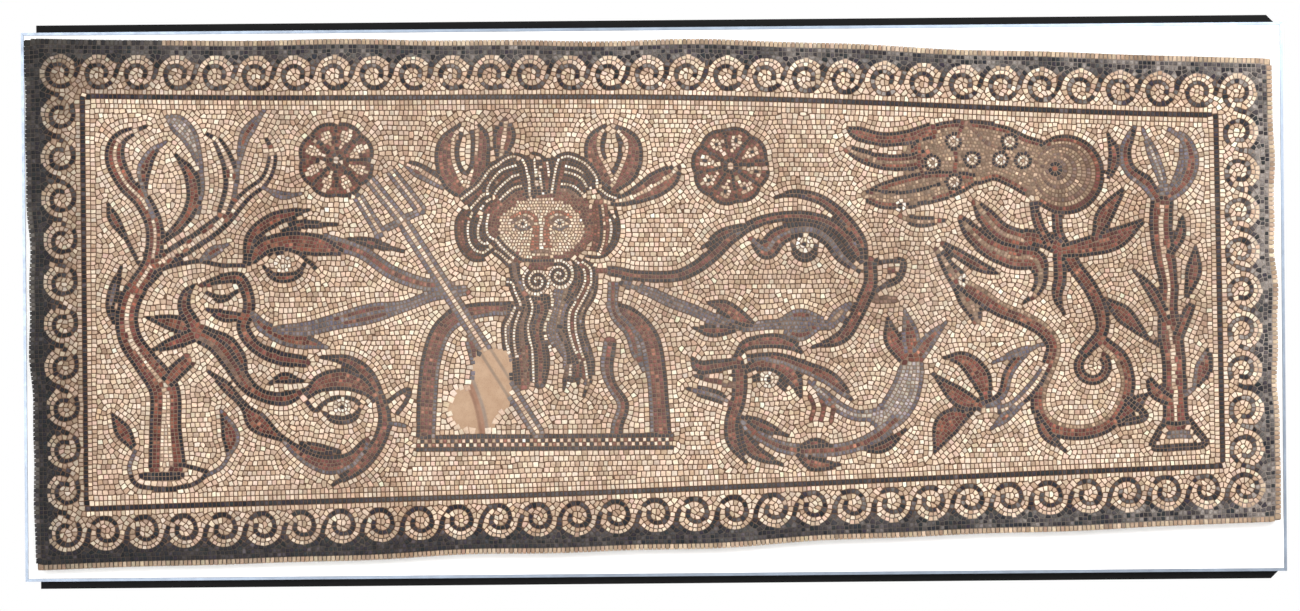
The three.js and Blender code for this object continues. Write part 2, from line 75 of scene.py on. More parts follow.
MM = 0.001                                    # metres in a millimetre
SLAB_LOW, SLAB_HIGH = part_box("mosaic_slab")
FACE = SLAB_LOW[1] / MM                       # depth of the tesserae's faces: -y is towards the viewer
BACK = SLAB_HIGH[1] / MM                      # depth of the slab's back

# Corners of the lifted mosaic and of the dark line round its picture, clockwise from the top left.
OUTER = np.array([[-1533, 655], [1512, 580], [1526, -548], [-1512, -642]], float)
INNER = np.array([[-1392, 515], [1376, 444], [1386, -413], [-1391, -494]], float)
FORWARDS = np.array([[1, 0], [0, -1], [-1, 0], [0, 1]], float)    # along each side, clockwise
INWARDS = np.array([[0, -1], [-1, 0], [0, 1], [1, 0]], float)     # from each side to the picture
EDGE_WAVE = 3.5                               # the cut edge wanders by this much
BOWS = (21.0, 0.0, 7.0, 0.0)                  # each side bows outwards with its border
BOW_SKEW = 1.15                               # and furthest a little past its middle
BORDER = 139.0                                # from the cut edge to the dark line
WAVES = [30, 10, 30, 11]                      # running waves along each side, corner to corner
WAVE_DEPTH = 0.6                              # wave centres, as a share of the border
HEAD_RADIUS = 46.0                            # pale head of a wave
ARM = 4.8                                     # half width of its dark arm
ARM_ANGLES = (-35.0, -15.0, 20.0)             # degrees, where an arm comes in from the dark cusp
ARM_RADII = (59.0, 46.0, 37.5)                # and how far from the wave's middle it is there
ARM_FALL = 480.0                              # degrees in which its radius then falls to 1 / e
EDGE_ROW = 7.5                                # row of plain stones along the cut edge
DARK_EDGE = -1200.0                           # the edge row is dark to the left of this
BAND = (17.0, 27.0)                           # full rows of the dark band, from the cut edge

FIELD_PITCH = 11.6                            # tesserae of the ground, centre to centre
LINE_PITCH = 10.6                             # of the border's dark rows
FIGURE_PITCH = 9.2                            # of trees and beasts
ROSETTE_PITCH = 8.4
HEAD_PITCH = 7.2                              # of the god's face, hair and beard
NARROWING = (0.024, 560.0)                    # slope of the ground's rows, and at what height
LEAST_GAP = 0.76                              # between two stones' middles, in pitches

# ---- curves and motifs ----


def resample(curve, step, phase=None):
    """Points at even steps of the curve's length, ends included, or centred in each step."""
    span = np.hypot(*(curve[1:, :2] - curve[:-1, :2]).T)
    length = np.concatenate([[0], np.cumsum(span)])
    count = max(int(round(length[-1] / step)), 1)
    if phase is None:
        at = np.linspace(0, length[-1], count + 1)
    else:
        at = (np.arange(count) + phase) * length[-1] / count
    return np.stack([np.interp(at, length, column) for column in curve.T], 1)


def smooth(points, step):
    """A Catmull-Rom curve through the points: each span is the cubic that leaves and reaches its
    ends along the chord of their neighbours."""
    points = np.asarray(points, float)
    if len(points) == 2:
        return resample(points, step)
    p = np.vstack([2 * points[0] - points[1], points, 2 * points[-1] - points[-2]])
    t = np.linspace(0, 1, 12, endpoint=False)[None, :, None]
    a, b, c, d = p[:-3, None], p[1:-2, None], p[2:-1, None], p[3:, None]
    curve = 0.5 * (2 * b + (c - a) * t + (2 * a - 5 * b + 4 * c - d) * t**2
                   + (3 * b - a - 3 * c + d) * t**3)
    return resample(np.vstack([curve.reshape(-1, points.shape[1]), points[-1:]]), step)


def tangents(curve):
    """Unit vectors along the curve, from central differences."""
    way = np.gradient(curve[:, :2], axis=0)
    return way / (np.linalg.norm(way, axis=1)[:, None] + 1e-9)


def arc(recipe, x, z, radius, start, stop, half):
    """A stroke along a circle: x + radius cos(a), z + radius sin(a), from one angle to another."""
    count = max(int(abs(stop - start) / 24), 3)
    angles = np.radians(np.linspace(start, stop, count))
    return (recipe, *[(x + radius * np.cos(a), z + radius * np.sin(a), half) for a in angles])


def ring(recipe, x, z, radius, half):
    """A closed circle as an arc that stops one stone short of its start."""
    return arc(recipe, x, z, radius, 0, 356, half)


def dot(recipe, x, z, half):
    """A single stone."""
    return (recipe, (x - 1, z, half), (x + 1, z, half))


# ---- the picture ----
#
# A stroke is a recipe and points (x, z, half width). The recipe names the stones of its rows:
#   one letter     a single row, or two where it is wide
#   three letters  left, middle and right row
#   four letters   left outline, filling, centre row, right outline
#   five letters   left outline, row inside it, filling, centre row, right outline
# D dark, G grey, L light grey, R red, B brown, K khaki, C cream, W white, T terracotta.

TREE_LEFT = [
    ("DRCD", (-1192, -392, 46), (-1196, -300, 39), (-1198, -205, 37), (-1242, -138, 31), (-1280, -80, 29),
     (-1287, -15, 27), (-1262, 48, 27), (-1210, 105, 24)),
    ("DRCD", (-1262, 48, 24), (-1226, 110, 22), (-1218, 190, 22), (-1245, 255, 22), (-1290, 305, 22),
     (-1314, 365, 24), (-1298, 412, 18), (-1236, 440, 3)),
    ("DRCD", (-1210, 105, 20), (-1120, 158, 20), (-1055, 205, 20), (-995, 268, 15), (-948, 306, 13),
     (-930, 352, 12), (-934, 385, 9), (-944, 408, 3)),
    ("DRCD", (-1050, 225, 16), (-1030, 290, 20), (-1036, 345, 18), (-1062, 400, 12), (-1090, 421, 3)),
    ("DRRD", (-1200, 158, 8), (-1150, 205, 14), (-1122, 260, 18), (-1130, 320, 16), (-1166, 370, 3)),
    ("GLLG", (-1112, 225, 5), (-1100, 290, 6), (-1106, 345, 8), (-1130, 410, 20), (-1160, 445, 22),
     (-1188, 464, 4)),
    ("GRRD", (-1222, 215, 5), (-1240, 275, 6), (-1243, 330, 17), (-1222, 375, 12), (-1188, 402, 3)),
    ("DRRD", (-1258, 105, 5), (-1288, 165, 7), (-1318, 215, 14), (-1332, 252, 3)),
    ("GRRG", (-1022, 262, 5), (-1012, 340, 6), (-1000, 400, 12), (-985, 430, 14), (-945, 478, 3)),
    ("GRRG", (-955, 288, 4), (-905, 268, 10), (-858, 272, 3)),
    ("D", (-1210, 88, 6), (-1160, 102, 6), (-1107, 108, 6), (-1052, 98, 6), (-1000, 98, 6)),
    ("GRRG", (-1107, 110, 5), (-1075, 132, 13), (-1038, 150, 3)),
    ("DRRD", (-1192, -188, 16), (-1165, -157, 20), (-1140, -135, 18)),
    ("DRRD", (-1326, -262, 3), (-1300, -305, 20), (-1270, -352, 5)),
    ("G", (-1270, -352, 6), (-1285, -392, 6), (-1278, -420, 6)),
    ("GRRD", (-1060, -255, 3), (-1037, -318, 22), (-1042, -368, 6)),
    ("G", (-1042, -368, 6), (-1062, -396, 6), (-1105, -418, 6)),
    ("D", (-1282, -420, 6), (-1262, -438, 6), (-1215, -446, 6), (-1150, -442, 6), (-1110, -425, 6),
     (-1098, -408, 6), (-1125, -396, 6), (-1165, -388, 6)),
    ("D", (-1250, -415, 10), (-1205, -416, 13), (-1160, -414, 10)),
    ("CCCC", (-1195, -388, 17), (-1195, -300, 12), (-1192, -222, 9), (-1196, -190, 4)),
    ("DGGD", (-1300, 98, 3), (-1318, 45, 13), (-1328, -5, 11), (-1320, -42, 3)),
]

BEAST_LEFT_UPPER = [
    ("GBRG", (-500, 50, 13), (-560, 48, 16), (-640, 78, 17), (-715, 128, 16), (-790, 150, 20),
     (-870, 160, 22)),
    ("DRRD", (-990, 98, 7), (-955, 138, 22), (-890, 152, 26), (-820, 145, 26), (-762, 128, 9)),
    ("DRRD", (-994, 100, 8), (-982, 165, 16), (-935, 205, 18), (-885, 222, 14), (-840, 232, 3)),
    ("DRRD", (-905, 182, 4), (-860, 196, 12), (-772, 196, 3)),
    ("DRRD", (-745, 160, 5), (-690, 150, 12), (-610, 128, 3)),
    ("D", (-975, 105, 6), (-945, 128, 6), (-905, 137, 6), (-865, 125, 6), (-825, 88, 6)),
    ("DRRD", (-952, 95, 5), (-930, 72, 10), (-902, 66, 12), (-870, 75, 10), (-852, 100, 5)),
    ("DRRD", (-1102, 52, 6), (-1050, 66, 12), (-1012, 66, 14), (-992, 28, 14), (-990, -15, 15),
     (-1004, -55, 16), (-975, -100, 16), (-920, -128, 17), (-852, -140, 13)),
    ("DBBD", (-1096, 35, 5), (-1057, 16, 9), (-1018, 34, 5)),
    ("DRRD", (-1092, -8, 4), (-1052, -25, 14), (-1010, -28, 10)),
    ("GRRG", (-985, -15, 6), (-950, -55, 16), (-880, -82, 22), (-798, -104, 4)),
    ("GRGG", (-930, -60, 10), (-850, -58, 17), (-770, -40, 20), (-690, -22, 24), (-610, -5, 14),
     (-540, 20, 14), (-460, 32, 13)),
]

BEAST_LEFT_LOWER = [
    ("DRRD", (-850, -222, 8), (-815, -192, 22), (-760, -183, 26), (-705, -205, 18), (-672, -240, 10)),
    ("DRRD", (-815, -128, 3), (-750, -138, 14), (-702, -172, 17), (-668, -228, 10)),
    ("DRRD", (-672, -225, 12), (-660, -280, 16), (-675, -335, 17), (-722, -395, 17), (-790, -442, 3)),
    ("D", (-655, -240, 6), (-620, -215, 7), (-600, -210, 7), (-606, -235, 6), (-630, -268, 6)),
    ("G", (-648, -290, 6), (-610, -298, 7)),
    ("D", (-850, -238, 6), (-830, -258, 6), (-808, -240, 6), (-780, -228, 6), (-740, -230, 6),
     (-718, -245, 6)),
    ("DRRD", (-808, -265, 5), (-785, -280, 9), (-760, -283, 10), (-735, -275, 9), (-720, -252, 5)),
    ("DRRG", (-910, -325, 8), (-860, -368, 16), (-800, -392, 22), (-745, -378, 18), (-705, -335, 10)),
    ("DRRD", (-866, -335, 4), (-825, -352, 14), (-770, -358, 5)),
    ("DRRD", (-1090, -160, 4), (-1045, -200, 13), (-1005, -245, 10), (-972, -285, 26), (-925, -318, 12),
     (-900, -330, 6)),
    ("DBRD", (-1120, -62, 24), (-1070, -90, 26), (-1030, -140, 25), (-1000, -190, 20), (-955, -222, 15),
     (-900, -228, 17), (-850, -205, 6)),
    ("DRRD", (-942, -190, 3), (-905, -178, 13), (-858, -186, 4)),
    ("DRRD", (-1100, -58, 8), (-1040, -88, 14), (-1012, -128, 14), (-998, -168, 6)),
    ("DRRD", (-1115, -62, 16), (-1175, -42, 20), (-1238, -28, 4)),
    ("DRRD", (-1125, -45, 17), (-1147, -5, 16), (-1142, 30, 12), (-1122, 52, 3)),
    ("DRRD", (-1128, -72, 18), (-1180, -92, 15), (-1228, -108, 3)),
]

BEAST_RIGHT_UPPER = [
    ("DGRD", (-150, 78, 8), (-100, 76, 12), (-40, 64, 13), (45, 62, 14), (95, 78, 16), (143, 112, 17),
     (190, 155, 15), (240, 186, 13), (290, 202, 12), (345, 207, 12), (400, 200, 13), (443, 181, 14),
     (478, 146, 14), (505, 105, 13), (528, 85, 12)),
    ("DRRD", (118, 131, 3), (170, 165, 13), (246, 190, 4)),
    ("DRGD", (240, 150, 8), (275, 125, 24), (300, 152, 24), (340, 170, 20), (390, 172, 18), (428, 148, 18),
     (462, 105, 16), (505, 68, 6)),
    ("DRRD", (298, 252, 3), (345, 262, 10), (400, 250, 12), (443, 222, 14), (480, 183, 15), (508, 140, 13),
     (515, 92, 8)),
    ("DRRD", (528, 92, 15), (530, 45, 17), (512, 0, 17), (490, -45, 17), (455, -92, 16), (385, -114, 3)),
    ("D", (540, 94, 6), (600, 96, 7), (610, 82, 7), (598, 52, 8), (568, 36, 7), (545, 20, 6)),
    ("B", (540, 0, 9), (590, 0, 8)),
    ("R", (572, 72, 8), (590, 74, 6)),
    ("DRRD", (338, 138, 5), (350, 112, 9), (370, 103, 10), (390, 112, 9), (400, 138, 5)),
    ("GDGG", (-90, 52, 8), (-20, 28, 12), (40, 0, 14), (93, -20, 14), (143, -42, 14), (205, -62, 13),
     (286, -58, 12), (357, -56, 14), (425, -60, 12), (460, -40, 8)),
    ("DRRD", (132, -2, 3), (172, -15, 18), (212, -42, 18), (250, -62, 3)),
    ("DRRD", (95, -64, 3), (145, -72, 16), (215, -66, 4)),
    ("GRRG", (305, -46, 4), (357, -34, 14), (415, -44, 4)),
    ("GRRG", (310, -68, 4), (357, -84, 15), (405, -66, 4)),
    ("GKKG", (425, -58, 7), (448, -38, 16), (480, -5, 5)),
]

BEAST_RIGHT_LOWER = [
    ("DRRD", (198, -138, 7), (225, -108, 14), (285, -97, 18), (335, -108, 14), (360, -128, 3)),
    ("DRRD", (203, -148, 16), (208, -195, 18), (203, -245, 18), (187, -295, 17), (192, -345, 17),
     (222, -396, 3)),
    ("DRRD", (92, -138, 5), (110, -160, 16), (150, -158, 16), (200, -150, 12)),
    ("DRGD", (78, -212, 4), (110, -220, 13), (150, -232, 14), (185, -250, 8)),
    ("DBRD", (98, -180, 4), (130, -190, 10), (190, -205, 8)),
    ("DRRD", (218, -172, 7), (255, -153, 16), (305, -160, 20), (340, -190, 19), (356, -236, 4)),
    ("D", (240, -190, 7), (270, -182, 10), (300, -196, 9), (320, -215, 7)),
    ("DRRG", (225, -138, 8), (295, -138, 12), (360, -160, 15), (420, -186, 18), (455, -215, 15),
     (482, -243, 4)),
    ("GGLG", (375, -195, 6), (408, -225, 12), (450, -262, 14), (495, -282, 14), (540, -278, 15)),
    ("GLLG", (522, -282, 14), (568, -285, 34), (605, -240, 38), (625, -180, 32), (628, -135, 26)),
    ("GGRG", (212, -292, 8), (255, -330, 12), (320, -360, 15), (400, -368, 15), (480, -358, 15),
     (545, -330, 16), (590, -290, 14)),
    ("DRRD", (212, -280, 5), (262, -305, 15), (325, -330, 3)),
    ("DRRD", (208, -305, 5), (240, -365, 18), (312, -402, 3)),
    ("DRRD", (345, -362, 4), (390, -348, 12), (432, -355, 4)),
    ("DRRD", (345, -378, 4), (390, -400, 18), (452, -402, 3)),
    ("DRRD", (500, -366, 4), (560, -358, 14), (614, -316, 3)),
    ("DRRD", (612, -140, 20), (582, -95, 22), (570, -42, 3)),
    ("GRRG", (630, -130, 20), (625, -80, 20), (612, -25, 3)),
    ("GRRG", (645, -135, 18), (675, -95, 16), (714, -55, 3)),
    ("R", (378, -232, 5), (388, -260, 5), (380, -292, 5)),
    ("R", (402, -235, 5), (412, -262, 5), (405, -295, 5)),
    ("R", (426, -238, 5), (436, -266, 5), (430, -298, 5)),
]

SPOTTED_BEAST = [
    ("DRKKD", (640, 335, 40), (700, 350, 78), (770, 356, 82), (840, 357, 69), (890, 337, 66),
     (935, 318, 72)),
    ("DRRD", (480, 418, 6), (500, 408, 16), (560, 392, 17), (620, 396, 18), (680, 412, 20)),
    ("DRKD", (476, 369, 9), (512, 352, 17), (562, 337, 19), (620, 336, 20), (668, 345, 22)),
    ("DRKKD", (520, 254, 13), (560, 254, 32), (620, 262, 40), (680, 274, 40), (740, 284, 30),
     (790, 294, 12)),
    ("D", (532, 270, 5), (590, 262, 5), (650, 268, 5), (700, 282, 5)),
    ("D", (610, 232, 5), (660, 236, 5), (720, 248, 5)),
    ("DRKD", (602, 202, 6), (650, 190, 14), (712, 193, 6)),
    ("R", (655, 398, 5), (650, 350, 5), (660, 300, 5)),
    ("R", (760, 432, 5), (742, 385, 5), (740, 330, 5), (728, 268, 5)),
    ("B", (770, 428, 5), (812, 385, 5), (850, 366, 5)),
    ("DRRD", (1112, 402, 3), (1128, 345, 15), (1112, 290, 6)),
]

SEA_DRAGON = [
    ("DRRD", (870, 150, 22), (935, 148, 20), (1000, 118, 20), (1032, 72, 18), (1066, 25, 18),
     (1090, -30, 18), (1093, -80, 16), (1064, -118, 14), (1045, -140, 13)),
    arc("DRRD", 1070, -166, 34, 140, 400, 12),
    ("DRKD", (788, 236, 9), (810, 204, 22), (850, 162, 25), (905, 142, 24)),
    ("DRKD", (752, 196, 10), (776, 166, 21), (820, 126, 26), (880, 102, 30), (932, 94, 26), (945, 50, 16),
     (932, 15, 12), (903, -10, 3)),
    ("DRRD", (708, 134, 8), (755, 104, 14), (800, 78, 13), (840, 64, 6)),
    ("DKRKD", (694, 122, 9), (722, 76, 18), (752, 35, 25), (774, -5, 29), (790, -58, 9)),
    ("KRRD", (745, 40, 14), (790, 12, 20), (843, -24, 19), (900, -48, 18), (950, -78, 18), (974, -115, 18),
     (962, -165, 18), (940, -220, 18), (938, -270, 19), (960, -308, 20), (1005, -326, 19), (1060, -326, 18),
     (1110, -306, 18), (1142, -262, 18), (1156, -205, 17), (1140, -148, 17), (1098, -108, 15)),
    ("DRRD", (928, 235, 10), (942, 180, 13), (968, 130, 12)),
    ("DRRD", (985, 205, 12), (990, 160, 12), (1010, 125, 10)),
    ("DRRD", (990, 110, 14), (993, 50, 15), (985, 5, 12), (1002, -40, 3)),
    ("DRRD", (1000, 116, 16), (1060, 126, 24), (1130, 146, 27), (1194, 186, 7)),
    ("DRRD", (1082, 150, 12), (1104, 205, 22), (1148, 264, 7)),
    ("DRRD", (1202, -235, 3), (1170, -262, 20), (1130, -300, 10)),
    ("DRRD", (1150, -245, 10), (1195, -290, 10), (1130, -308, 8)),
    ("DRRD", (930, -272, 6), (955, -330, 14), (1003, -374, 3)),
]

LEAF_SPRAY = [
    ("DRRD", (812, -252, 10), (795, -190, 26), (755, -148, 20), (706, -142, 3)),
    ("DRRD", (805, -265, 8), (745, -240, 24), (678, -180, 3)),
    ("DRRD", (775, -275, 6), (715, -305, 32), (682, -374, 4)),
    ("DRRG", (800, -262, 9), (846, -235, 11), (866, -178, 12), (905, -132, 11), (955, -105, 4)),
    ("GRCD", (800, -274, 9), (870, -264, 13), (925, -215, 15), (960, -160, 10)),
    ("GRRG", (820, -318, 3), (855, -290, 12), (898, -255, 5)),
    ("GRRG", (826, -156, 3), (885, -132, 10), (950, -112, 4)),
]

TREE_RIGHT = [
    ("DRCD", (1272, -300, 31), (1270, -220, 29), (1268, -150, 29), (1260, -90, 30), (1255, -30, 24),
     (1258, 30, 22), (1248, 95, 27), (1240, 170, 28), (1243, 245, 28)),
    ("GRRD", (1236, 235, 14), (1205, 280, 17), (1165, 312, 15), (1154, 355, 14), (1168, 398, 10),
     (1180, 420, 3)),
    ("GLLG", (1250, 250, 10), (1240, 300, 12), (1220, 355, 13), (1198, 412, 3)),
    ("GRRG", (1258, 245, 12), (1290, 270, 16), (1312, 310, 18), (1314, 355, 16), (1296, 390, 11),
     (1258, 410, 4)),
    ("GRRG", (1262, 262, 6), (1288, 315, 9), (1290, 372, 3)),
    ("DRRD", (1262, 105, 8), (1285, 150, 14), (1293, 196, 6)),
    ("DRRD", (1324, 122, 5), (1318, 62, 20), (1302, 0, 5)),
    ("DRRD", (1250, -55, 12), (1230, -10, 14), (1205, 30, 12), (1172, 68, 3)),
    ("DRRD", (1110, -8, 8), (1150, -44, 22), (1208, -104, 5)),
    ("D", (1200, -98, 6), (1235, -118, 6)),
    ("DRRD", (1280, -95, 14), (1298, -50, 14), (1314, -15, 10)),
    ("DRRG", (1352, -126, 5), (1340, -175, 21), (1318, -226, 4)),
    ("G", (1318, -222, 6), (1296, -240, 6)),
    ("DRRD", (1208, -200, 8), (1224, -230, 18), (1258, -252, 14)),
    ("D", (1246, -300, 6), (1228, -332, 7), (1216, -366, 7), (1280, -366, 8), (1342, -358, 7),
     (1318, -318, 7), (1300, -290, 6)),
    ("D", (1250, -306, 6), (1276, -310, 6), (1304, -304, 6)),
    ("G", (1252, -337, 9), (1280, -334, 14), (1308, -336, 9)),
]

CLAWS = [
    ("GRCD", (-478, 268, 6), (-530, 302, 16), (-578, 330, 17), (-606, 344, 6)),
    ("DRRC", (-448, 258, 12), (-488, 296, 25), (-507, 345, 25), (-503, 394, 20), (-470, 438, 4)),
    ("CRRD", (-455, 262, 12), (-428, 312, 21), (-418, 360, 20), (-416, 405, 17), (-432, 444, 4)),
    ("D", (-466, 418, 5), (-478, 375, 5), (-472, 338, 5), (-456, 318, 5), (-442, 342, 5), (-438, 385, 5),
     (-442, 422, 5)),
    ("DRCD", (-372, 350, 8), (-367, 384, 24), (-361, 416, 27), (-358, 446, 8)),
    ("DRRC", (-92, 276, 10), (-128, 320, 23), (-146, 362, 21), (-143, 400, 16), (-116, 432, 5)),
    ("CRRD", (-96, 276, 12), (-62, 316, 25), (-47, 362, 23), (-55, 400, 17), (-98, 433, 5)),
    ("D", (-116, 412, 5), (-122, 372, 5), (-112, 342, 5), (-98, 318, 5), (-84, 345, 5), (-79, 380, 5),
     (-86, 410, 5)),
    ("DRCD", (-140, 246, 7), (-80, 248, 14), (-30, 266, 24), (10, 288, 31), (42, 308, 26), (60, 328, 8)),
]

CLOAK = [
    ("DRRG", (-560, -325, 23), (-556, -230, 24), (-546, -140, 24), (-522, -70, 24), (-478, -30, 22),
     (-420, -16, 18), (-350, -12, 16)),
    ("DRRG", (-110, -8, 12), (-55, -35, 20), (-12, -90, 24), (4, -170, 24), (10, -250, 24), (14, -325, 26)),
    ("D", (-584, -326, 6), (44, -326, 6)),
    ("D", (-584, -356, 6), (44, -356, 6)),
    ("DRG", (-448, -92, 14), (-437, -150, 12), (-444, -205, 10)),
    ("DRRG", (-108, -98, 16), (-116, -160, 15), (-104, -205, 12), (-78, -250, 14), (-92, -300, 14),
     (-95, -322, 14)),
    ("GCRG", (-100, 48, 12), (-97, -25, 13), (-60, -72, 14), (-44, -125, 12), (-28, -168, 4)),
]

TRIDENT = [
    ("GCG", (-614, 205, 17), (-486, 3, 17), (-343, -226, 17), (-286, -318, 17)),
    ("G", (-678, 172, 8), (-560, 232, 8)),
    ("GCG", (-668, 176, 14), (-720, 262, 12)),
    ("GCG", (-614, 205, 14), (-690, 302, 12)),
    ("GCG", (-566, 228, 14), (-640, 326, 12)),
]

def rosette(x, z, radius, turn, hearts):
    """Eight petals: rings of stones, a lobed rim R (1 + 0.05 |sin 4a|), eight spokes and pale hearts."""
    half, centre = ROSETTE_PITCH / 2, np.array([x, z])
    strokes = [ring("R", x, z, r, half) for r in np.arange(half, radius - 2 * half, 2 * half)]
    angles = np.radians(np.arange(0, 358, 7.5))
    for recipe, inset in (("D", half), ("R", 3 * half)):
        reach = (radius - inset) * (0.96 + 0.07 * np.abs(np.sin(4 * (angles - turn))))
        rim = zip(x + reach * np.cos(angles), z + reach * np.sin(angles))
        strokes.append((recipe, *[(px, pz, half) for px, pz in rim]))
    for k in range(8):
        a = turn + k * np.pi / 4
        way = np.array([np.cos(a), np.sin(a)])
        strokes.append(("D", (*(centre + 14 * way), half), (*(centre + (radius - 8) * way), half)))
        a += np.pi / 8
        way = np.array([np.cos(a), np.sin(a)])
        at = [centre + share * radius * way for share in (0.34, 0.5, 0.64, 0.78)]
        strokes.append(("CCCC", (*at[0], 4), (*at[1], 7), (*at[2], 12.5), (*at[3], 11)))
        if hearts:
            strokes.append(dot("D", *(centre + 0.68 * radius * way), half))
    strokes += [ring("D", x, z, 15, half), dot("C", x, z, 9)]
    return strokes


def spot(x, z):
    """A leopard's spot: a dark ring, a pale ring and a dark heart."""
    return [ring("D", x, z, 17.5, 4), ring("W", x, z, 9.5, 4.2), dot("K", x, z, 4)]


def coil(x, z):
    """The spotted beast's coiled end: rings round its eye, whose middle drifts outwards with their
    radius, and which stay open where the body joins them."""
    strokes = []
    for k, recipe in enumerate("DBKBKKBKRD"):
        radius = 14 + 8.8 * k
        gap = 8 if k < 8 else 46
        strokes.append(arc(recipe, x + 2.6 * k, z - 1.7 * k, radius, 176 - gap, gap - 178, 4.2))
    return strokes + [dot("T", x, z, 7)]


def beast_eye(x, z):
    """A pale ring with a dark pupil, under a lid that its own beast's strokes draw."""
    return [ring("W", x, z, 17, 4.5), ring("W", x, z, 10, 4), dot("D", x, z, 8.5)]


def curl(x, z, radius, start, turns, way):
    """Two spiral arms, pale and dark, each one stone wide: the radius falls evenly with the angle."""
    strokes = []
    for recipe, shift in (("W", 0.0), ("D", HEAD_PITCH)):
        angle = np.linspace(0, turns * 2 * np.pi, int(turns * 14) + 2)
        r = radius - shift - 2 * HEAD_PITCH * angle / (2 * np.pi)
        keep = r > 2.5
        a = np.radians(start) + way * angle[keep]
        px, pz = x + r[keep] * np.cos(a), z + r[keep] * np.sin(a)
        strokes.append((recipe, *[(u, v, HEAD_PITCH / 2) for u, v in zip(px, pz)]))
    return strokes


FACE_X, FACE_Z = -274, 182                    # middle of the god's face
FACE_HALF = (103, 74)


def lock(rows, *points):
    """Rows of small stones side by side along a curve, from its right to its left. The pale row W
    lies on the curve itself, or the first row where none is pale."""
    curve = smooth([(x, z, HEAD_PITCH / 2) for x, z in points], 12)
    way = tangents(curve)
    first = max(rows.find("W"), 0)
    strokes = []
    for k, recipe in enumerate(rows):
        beside = curve.copy()
        beside[:, :2] += (k - first) * HEAD_PITCH * np.stack([-way[:, 1], way[:, 0]], 1)
        strokes.append((recipe, *map(tuple, beside)))
    return strokes


def locks(table):
    return [stroke for rows, *points in table for stroke in lock(rows, *points)]


# Locks of the hair: arcs to the tuft, the tuft, arcs away from it, and a curl on either side.
HAIR = [
    ("RDWD", (-469, 255), (-427, 288), (-400, 324), (-377, 340), (-354, 355), (-335, 359)),
    ("RRDWD", (-404, 257), (-402, 288), (-373, 322), (-350, 332), (-325, 338)),
    ("RRDWD", (-388, 257), (-381, 276), (-346, 307), (-319, 315)),
    ("RDWD", (-375, 253), (-358, 268), (-338, 282), (-311, 288)),
    ("BDWD", (-231, 351), (-205, 357), (-169, 342), (-150, 322), (-138, 303), (-134, 280)),
    ("RRDWD", (-215, 333), (-192, 328), (-173, 317), (-158, 299), (-152, 276)),
    ("RDWD", (-214, 319), (-192, 313), (-173, 301), (-161, 280)),
    ("BDWD", (-226, 290), (-204, 288), (-185, 278), (-171, 264)),
    ("RDWDD", (-302, 262), (-302, 288), (-306, 310), (-310, 332), (-320, 352)),
    ("DRWD", (-280, 264), (-285, 295), (-287, 322), (-289, 352)),
    ("DRDWD", (-268, 264), (-273, 295), (-275, 322), (-276, 350)),
    ("DDWRD", (-250, 272), (-254, 307), (-256, 330), (-260, 352)),
    ("RDWD", (-248, 268), (-241, 307), (-236, 330), (-230, 350)),
    ("D", (-338, 364), (-318, 359), (-304, 344)),
    ("D", (-294, 366), (-274, 360), (-262, 346)),
    ("DDWD", (-446, 232), (-423, 257), (-412, 268)),
    ("RDWD", (-423, 228), (-408, 247), (-396, 256)),
    ("DRRR", (-462, 230), (-478, 208), (-482, 180), (-477, 148), (-462, 121), (-440, 106), (-414, 106)),
    ("DWDR", (-442, 222), (-452, 195), (-453, 168), (-447, 145), (-434, 130), (-416, 124), (-396, 138)),
    ("DWDRR", (-419, 214), (-427, 188), (-428, 165), (-419, 148), (-402, 146)),
    ("DWRR", (-402, 218), (-407, 192), (-404, 168), (-390, 156)),
    ("D", (-92, 222), (-84, 190), (-87, 157), (-100, 132), (-126, 112), (-166, 112)),
    ("RRDWD", (-132, 230), (-111, 211), (-103, 188), (-104, 165), (-112, 143), (-132, 126)),
    ("RRDCR", (-146, 236), (-141, 190), (-143, 153), (-152, 128)),
    ("DWD", (-130, 278), (-111, 262), (-90, 254)),
    ("DWD", (-386, 156), (-370, 137), (-354, 121), (-335, 106)),
    ("DWD", (-388, 128), (-374, 120), (-352, 98)),
]

# The beard: broad locks with their half widths, and the pale lines between them.
BEARD = [
    ("DGBD", (-342, 96, 14), (-336, 60, 13), (-322, 20, 18), (-314, -13, 15)),
    ("DGGD", (-347, -5, 10), (-355, -50, 12), (-358, -95, 13), (-348, -140, 9), (-343, -200, 9)),
    ("DRBD", (-322, 20, 16), (-314, -13, 14), (-323, -50, 17), (-323, -90, 19), (-319, -125, 20),
     (-316, -160, 19), (-316, -198, 17)),
    ("DDRG", (-285, 20, 22), (-275, -13, 23), (-285, -50, 21), (-286, -75, 19), (-280, -110, 20),
     (-276, -150, 20), (-281, -197, 15)),
    ("GGKG", (-215, 25, 30), (-222, 0, 27), (-230, -25, 24), (-235, -50, 26), (-236, -72, 27),
     (-224, -98, 22), (-212, -125, 16)),
    ("DDBG", (-226, -70, 18), (-212, -120, 13), (-215, -165, 9), (-222, -212, 4)),
    ("DRRD", (-208, -90, 12), (-200, -130, 13), (-203, -170, 10), (-212, -208, 4)),
    ("DDRD", (-196, -110, 12), (-188, -150, 11), (-186, -198, 5)),
    ("DRRD", (-184, 96, 11), (-184, 60, 9), (-200, 25, 9), (-215, 2, 6)),
    ("DGKG", (-147, 78, 8), (-147, 40, 10), (-157, 10, 10), (-174, -20, 9), (-182, -50, 12),
     (-178, -80, 13), (-168, -115, 14), (-160, -150, 14), (-162, -190, 10), (-174, -230, 3)),
    ("D", (-322, 104, 5), (-260, 104, 5), (-205, 106, 5)),
    ("RTTR", (-305, 90, 5), (-275, 90, 9), (-248, 94, 5)),
    ("DDDD", (-300, 14, 8), (-262, 14, 8)),
]
